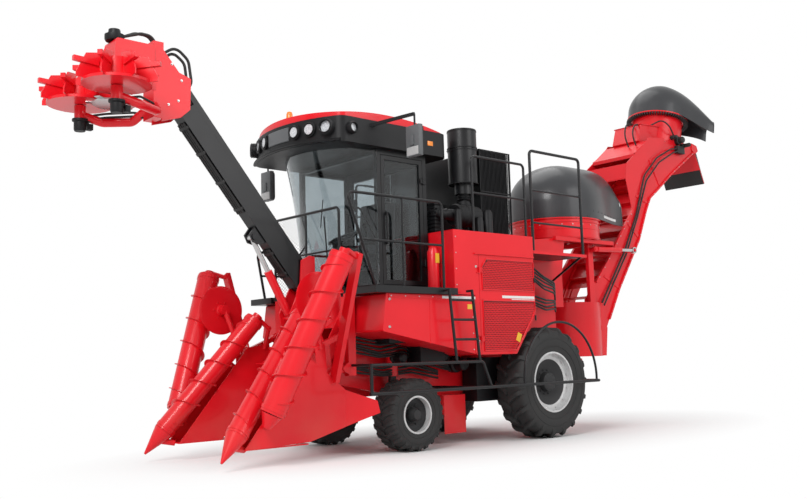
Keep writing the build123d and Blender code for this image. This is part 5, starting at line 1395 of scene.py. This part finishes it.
add_box(mesh, at(-0.140, -0.372, 2.555), at(0.140, -0.330, 2.655), edge=0.012)
add_tube(mesh, path((0.020, -0.552, 2.060), (0.250, -0.790, 2.880)), 0.009, 8)
add_tube(mesh, path((0.140, -0.762, 2.760), (0.300, -0.838, 3.080)), 0.006, 8)
add_turned(mesh, [(0, 0.026), (0.040, 0.022), (0.042, 0.0)], at(0.020, -0.530, 2.060), (0, -1, 0), 20,
           cap=True)
finished("cab_fittings", mesh, "cab_shell", TRIM)

# %% [markdown]
# ## Topper, boom and lift
# Under each gathering drum hangs its oil motor. The head's pipes loop from the boom's end over the
# cover, in arcs that clamps hold. A pale rail runs along the link, and pipes lie under the boom.


# %% Topper and boom
BEAM_FOOT, BEAM_TOP = (-0.990, 2.050), (-2.610, 4.040)
LINK_FOOT = (-0.970, 2.290)
LINE = (Vector((0, *BEAM_TOP)) - Vector((0, *BEAM_FOOT))).normalized()
OUT = Vector((0, LINE.z, -LINE.y))


def beside(start, along, out, x):
    # A point beside a slanting beam: so far along it, and so far above it.
    spot = Vector((0, *start)) + LINE * along + OUT * out
    return at(x, spot.y, spot.z)


mesh = bmesh.new()
for x in (0.470, -0.470):
    add_turned(mesh, [(0.0, 0.0), (0.0, 0.058), (0.020, 0.066), (0.100, 0.066), (0.112, 0.085),
                      (0.135, 0.085), (0.135, 0.0)], at(x, -3.580, 3.706), UP, 32)
    add_box(mesh, at(x - 0.036, -3.500, 3.730), at(x + 0.036, -3.440, 3.800), edge=0.008)
add_turned(mesh, [(0.0, 0.095), (0.020, 0.105), (0.070, 0.105), (0.080, 0.070), (0.130, 0.062), (0.140, 0.0)],
           at(0, -3.400, 4.638), UP, 36, cap=True)
finished("topper_motors", mesh, "topper_head", TRIM)
mesh = bmesh.new()
for x, points in ((-0.030, ((-3.330, 4.700), (-3.150, 4.790), (-2.980, 4.800), (-2.905, 4.660))),
                  (0.055, ((-3.330, 4.690), (-3.120, 4.770), (-2.990, 4.770), (-2.915, 4.640))),
                  (0.100, ((-2.900, 4.560), (-2.720, 4.690), (-2.560, 4.560), (-2.520, 4.300),
                           (-2.640, 4.120))),
                  (0.062, ((-2.900, 4.480), (-2.740, 4.640), (-2.590, 4.530), (-2.560, 4.310),
                           (-2.660, 4.160)))):
    add_tube(mesh, rounded([at(x, y, z) for y, z in points], 0.13, 7), 0.017, 10)
for mirror in (1, -1):
    for shift in (0.0, 0.042):
        line = path((mirror * 0.075, -2.960, 3.860 + shift), (mirror * 0.240, -3.060, 3.905 + shift),
                    (mirror * 0.430, -3.300, 3.895 + shift), (mirror * 0.450, -3.470, 3.850 + shift),
                    (mirror * 0.462, -3.520, 3.770))
        add_tube(mesh, rounded(line, 0.10, 6), 0.013, 10)
finished("topper_hoses", mesh, "topper_head", HOSE)
mesh = bmesh.new()
for x in spread(-0.080, 0.080, 3):
    add_bolt(mesh, at(x, -2.880, 4.470), (0, 1, 0), 0.014)
for mirror in (1, -1):
    for y, z in ((-2.660, 4.300), (-2.780, 4.470), (-2.820, 4.000), (-2.700, 4.060)):
        add_bolt(mesh, at(mirror * 0.1245, y, z), (mirror, 0, 0), 0.015)
finished("topper_bolts", mesh, "topper_head", STEEL)
mesh = bmesh.new()
add_tube(mesh, [beside(LINK_FOOT, along, 0.047, 0.0) for along in (0.22, 2.30)], 0.013, 12)
for along in spread(0.30, 2.22, 6):
    low, high = [beside(LINK_FOOT, along, 0.030, x) for x in (-0.020, 0.020)]
    add_box(mesh, low, high + Vector((0, 0.020, 0.030)))
finished("link_rail", mesh, "topper_link", PIPE)
mesh = bmesh.new()
for x in (-0.060, -0.022, 0.022, 0.060):
    for reach in ((0.20, 0.62), (1.16, 2.40)):
        add_tube(mesh, [beside(BEAM_FOOT, along, -0.126, x) for along in reach], 0.014, 10)
CLAMP = Vector((0.082, 0.018, 0.018))
for along in (0.26, 0.56, 1.22, 1.60, 2.00, 2.34):
    middle = beside(BEAM_FOOT, along, -0.122, 0)
    add_box(mesh, middle - CLAMP, middle + CLAMP, Matrix.Rotation(atan2(LINE.z, LINE.y), 3, "X"), edge=0.004)
finished("boom_pipes", mesh, "topper_boom", HOSE)

# %% [markdown]
# ## Hubs of the side discs, hoses beside the wheels
# Each side disc has a bolted hub. Behind the engine doors a bundle of hoses comes down from the
# deck to the drive motors.


# %% Disc hubs and service hoses
mesh = bmesh.new()
DISC = at(1.055, -1.480, 1.790)
for side in (1, -1):
    add_turned(mesh, [(0.0, 0.075), (0.018, 0.072), (0.030, 0.050), (0.036, 0.0)],
               DISC + Vector((side * 0.010, 0, 0)), (side, 0, 0), 32, cap=True)
    studs(mesh, DISC, side * 0.010, 0.105, 6, 0.011, side, 0.0)
pair("disc_hub", mesh, "side_disc", RED)
mesh = bmesh.new()
bundle(mesh, path((0.900, 2.080, 2.440), (0.940, 2.240, 2.250), (0.930, 2.520, 2.120),
                  (0.860, 2.840, 2.060), (0.720, 3.020, 1.960)), 5, 0.040, 0.014, 0.014)
bundle(mesh, path((0.800, 2.060, 2.080), (0.900, 2.200, 1.900), (0.920, 2.560, 1.800),
                  (0.840, 2.860, 1.820), (0.700, 3.040, 1.780)), 4, 0.040, 0.014, 0.012)
pair("service_hoses", mesh, "chassis_frame", HOSE)
